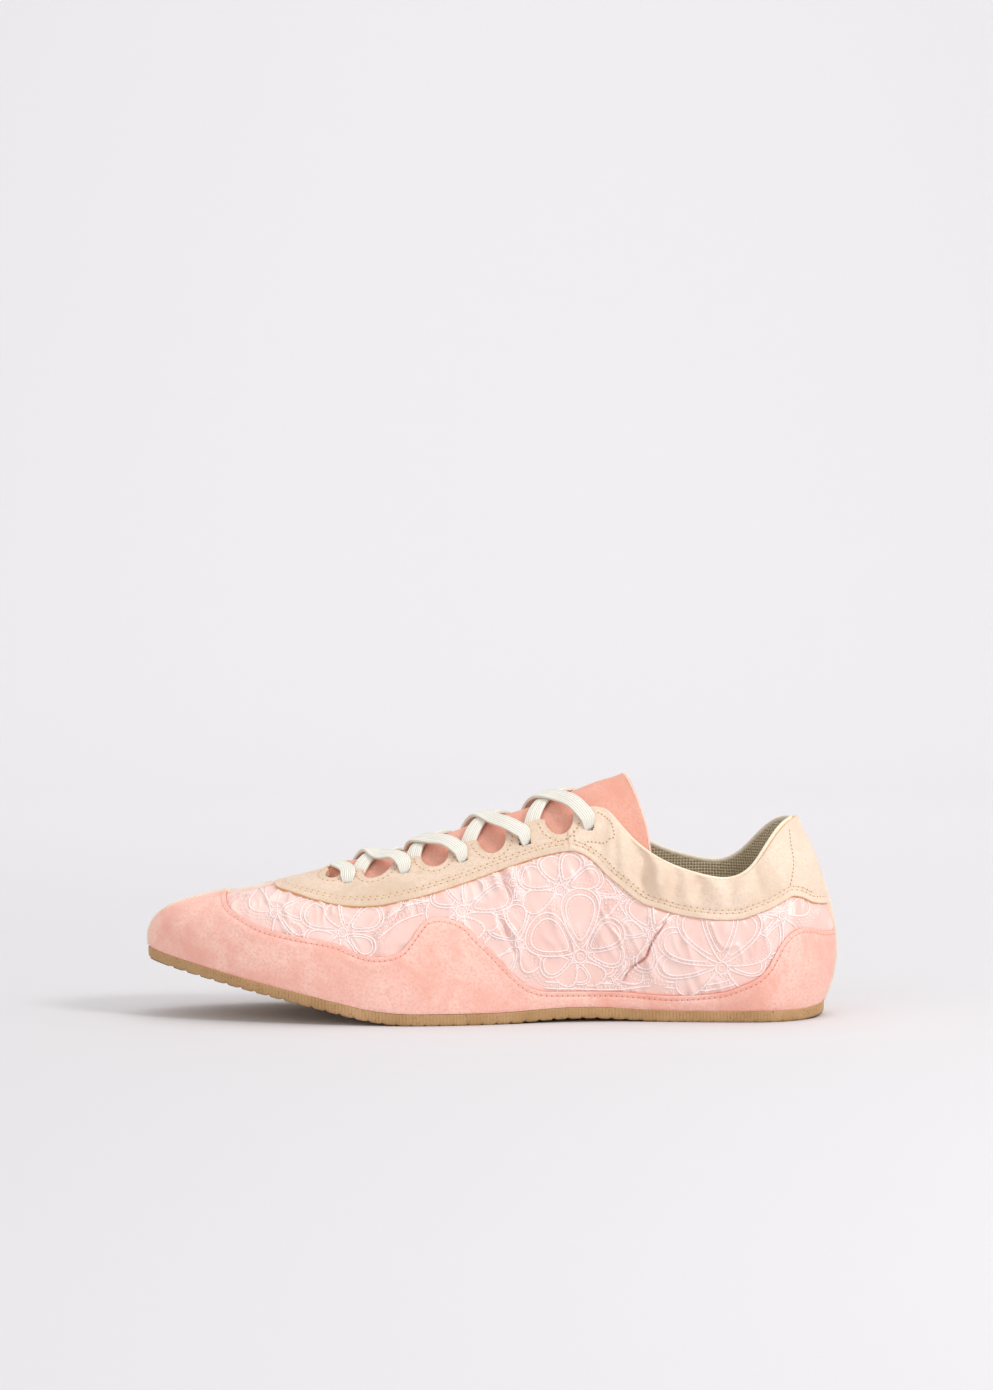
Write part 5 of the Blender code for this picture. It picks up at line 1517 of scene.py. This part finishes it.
def makeEmbroidery(name, mirrored):
    guessRows, guessHeights = np.meshgrid(np.linspace(0.5, 16.5, 90), np.linspace(0.03, 0.97, 40), indexing="ij")
    if mirrored:
        guessRows = ringEnd - guessRows
    guess = onWall(guessRows, guessHeights)[..., [0, 2]].reshape(-1, 2)
    flat, kinds = zip(*drawing())
    points = np.concatenate(flat)
    nearest = np.concatenate([((part[:, None] - guess[None]) ** 2).sum(-1).argmin(1)
                              for part in np.array_split(points, max(1, len(points) // 400))])
    target = np.column_stack([points[:, 0], 0 * points[:, 0], points[:, 1]])
    row, height = wallPlace(target, guessRows.ravel()[nearest], guessHeights.ravel()[nearest], sideOnly=True)
    length = wallLength(row)
    inside = (height - alongRing(mudguardTop, row)) * length > -embroidery["margin"]
    inside &= (alongRing(eyestayFoot, row) - height) * length > -embroidery["margin"]
    found = onWall(row, height)
    inside &= np.hypot(found[:, 0] - points[:, 0], found[:, 2] - points[:, 1]) < 0.6
    out = satinOut(row, height) + 0.08
    raised, normals = onWall(row, height, out), wallNormal(row, height)
    paths, start = [], 0
    for line, kind in zip(flat, kinds):
        picked = inside[start:start + len(line)].astype(int)
        edges = np.flatnonzero(np.diff(np.concatenate([[0], picked, [0]])))
        for first, last in edges.reshape(-1, 2) + start:
            if last - first > 2:
                paths.append((raised[first:last], normals[first:last], *embroidery[kind]))
        start += len(line)
    tubesPiece(name, paths, finishes["thread"], sides=5)


makeEmbroidery("embroidery_outer", False)
makeEmbroidery("embroidery_inner", True)
print("stage: embroidery")

# ---- floor, light and camera
studio = {
    "floor": "dddbdd", "world": 0.76, "target": (-0.1, 0.0, 0.03),
    # name, the side it comes from, strength, angle in degrees
    "suns": [("fill", (-1.1, -1.3, 0.67), 0.30, 38.0), ("top", (0.25, 0.15, 1.47), 0.36, 27.0)],
    # name, place, what it shines on, size in metres, watts
    "discs": [("key", (0.85, -0.75, 0.92), (-0.1, 0.0, 0.03), 0.42, 9.0),
              ("backdrop", (0.0, 1.1, 1.9), (0.0, 2.6, 0.7), 1.8, 13.0)],
}


def addLight(name, kind, place, target, energy):
    lamp = bpy.data.lights.new(name, kind)
    lamp.energy = energy
    light = bpy.data.objects.new(name, lamp)
    light.location = place
    light.rotation_euler = (Vector(target) - Vector(place)).to_track_quat("-Z", "Y").to_euler()
    bpy.context.scene.collection.objects.link(light)
    return lamp


def makeStudio():
    # one wide sheet that lies flat and turns up behind the shoe
    finish, tree, shader = newFinish("studio_floor", studio["floor"], 0.9, specular=0.2)
    turn = np.linspace(0, math.pi / 2, 24)
    curve = [(-30.0, 0.0), *zip(1.4 + 1.2 * np.sin(turn), 1.2 - 1.2 * np.cos(turn)), (2.6, 4.0)]
    points = [(x, y, z) for x in (-30.0, 30.0) for y, z in curve]
    count = len(curve)
    floor = bpy.data.meshes.new("studio_floor")
    floor.from_pydata(points, [], [(i, i + 1, count + i + 1, count + i) for i in range(count - 1)])
    floor.shade_smooth()
    floor.materials.append(finish)
    sheet = bpy.data.objects.new("studio_floor", floor)
    bpy.context.scene.collection.objects.link(sheet)
    target = Vector(studio["target"])
    for name, side, strength, spread in studio["suns"]:
        addLight(name, "SUN", target + Vector(side), target, strength).angle = math.radians(spread)
    for name, place, shinesOn, size, watts in studio["discs"]:
        lamp = addLight(name, "AREA", place, shinesOn, watts)
        lamp.shape, lamp.size = "DISK", size
    world = bpy.data.worlds.new("studio")
    world.use_nodes = True
    world.node_tree.nodes["Background"].inputs["Color"].default_value = (1.0, 1.0, 1.0, 1)
    world.node_tree.nodes["Background"].inputs["Strength"].default_value = studio["world"]
    bpy.context.scene.world = world
    bpy.context.scene.view_settings.view_transform = "Standard"


def makeCamera():
    lens = bpy.data.cameras.new("camera")
    lens.lens, lens.sensor_width, lens.sensor_fit = 98.73, 36.0, "AUTO"
    camera = bpy.data.objects.new("camera", lens)
    camera.location = (-0.10762, -1.48945, 0.17761)
    camera.rotation_euler = (math.radians(90 - 2.024), 0, 0)
    bpy.context.scene.collection.objects.link(camera)
    bpy.context.scene.camera = camera


makeStudio()
makeCamera()
print("stage: studio ready")
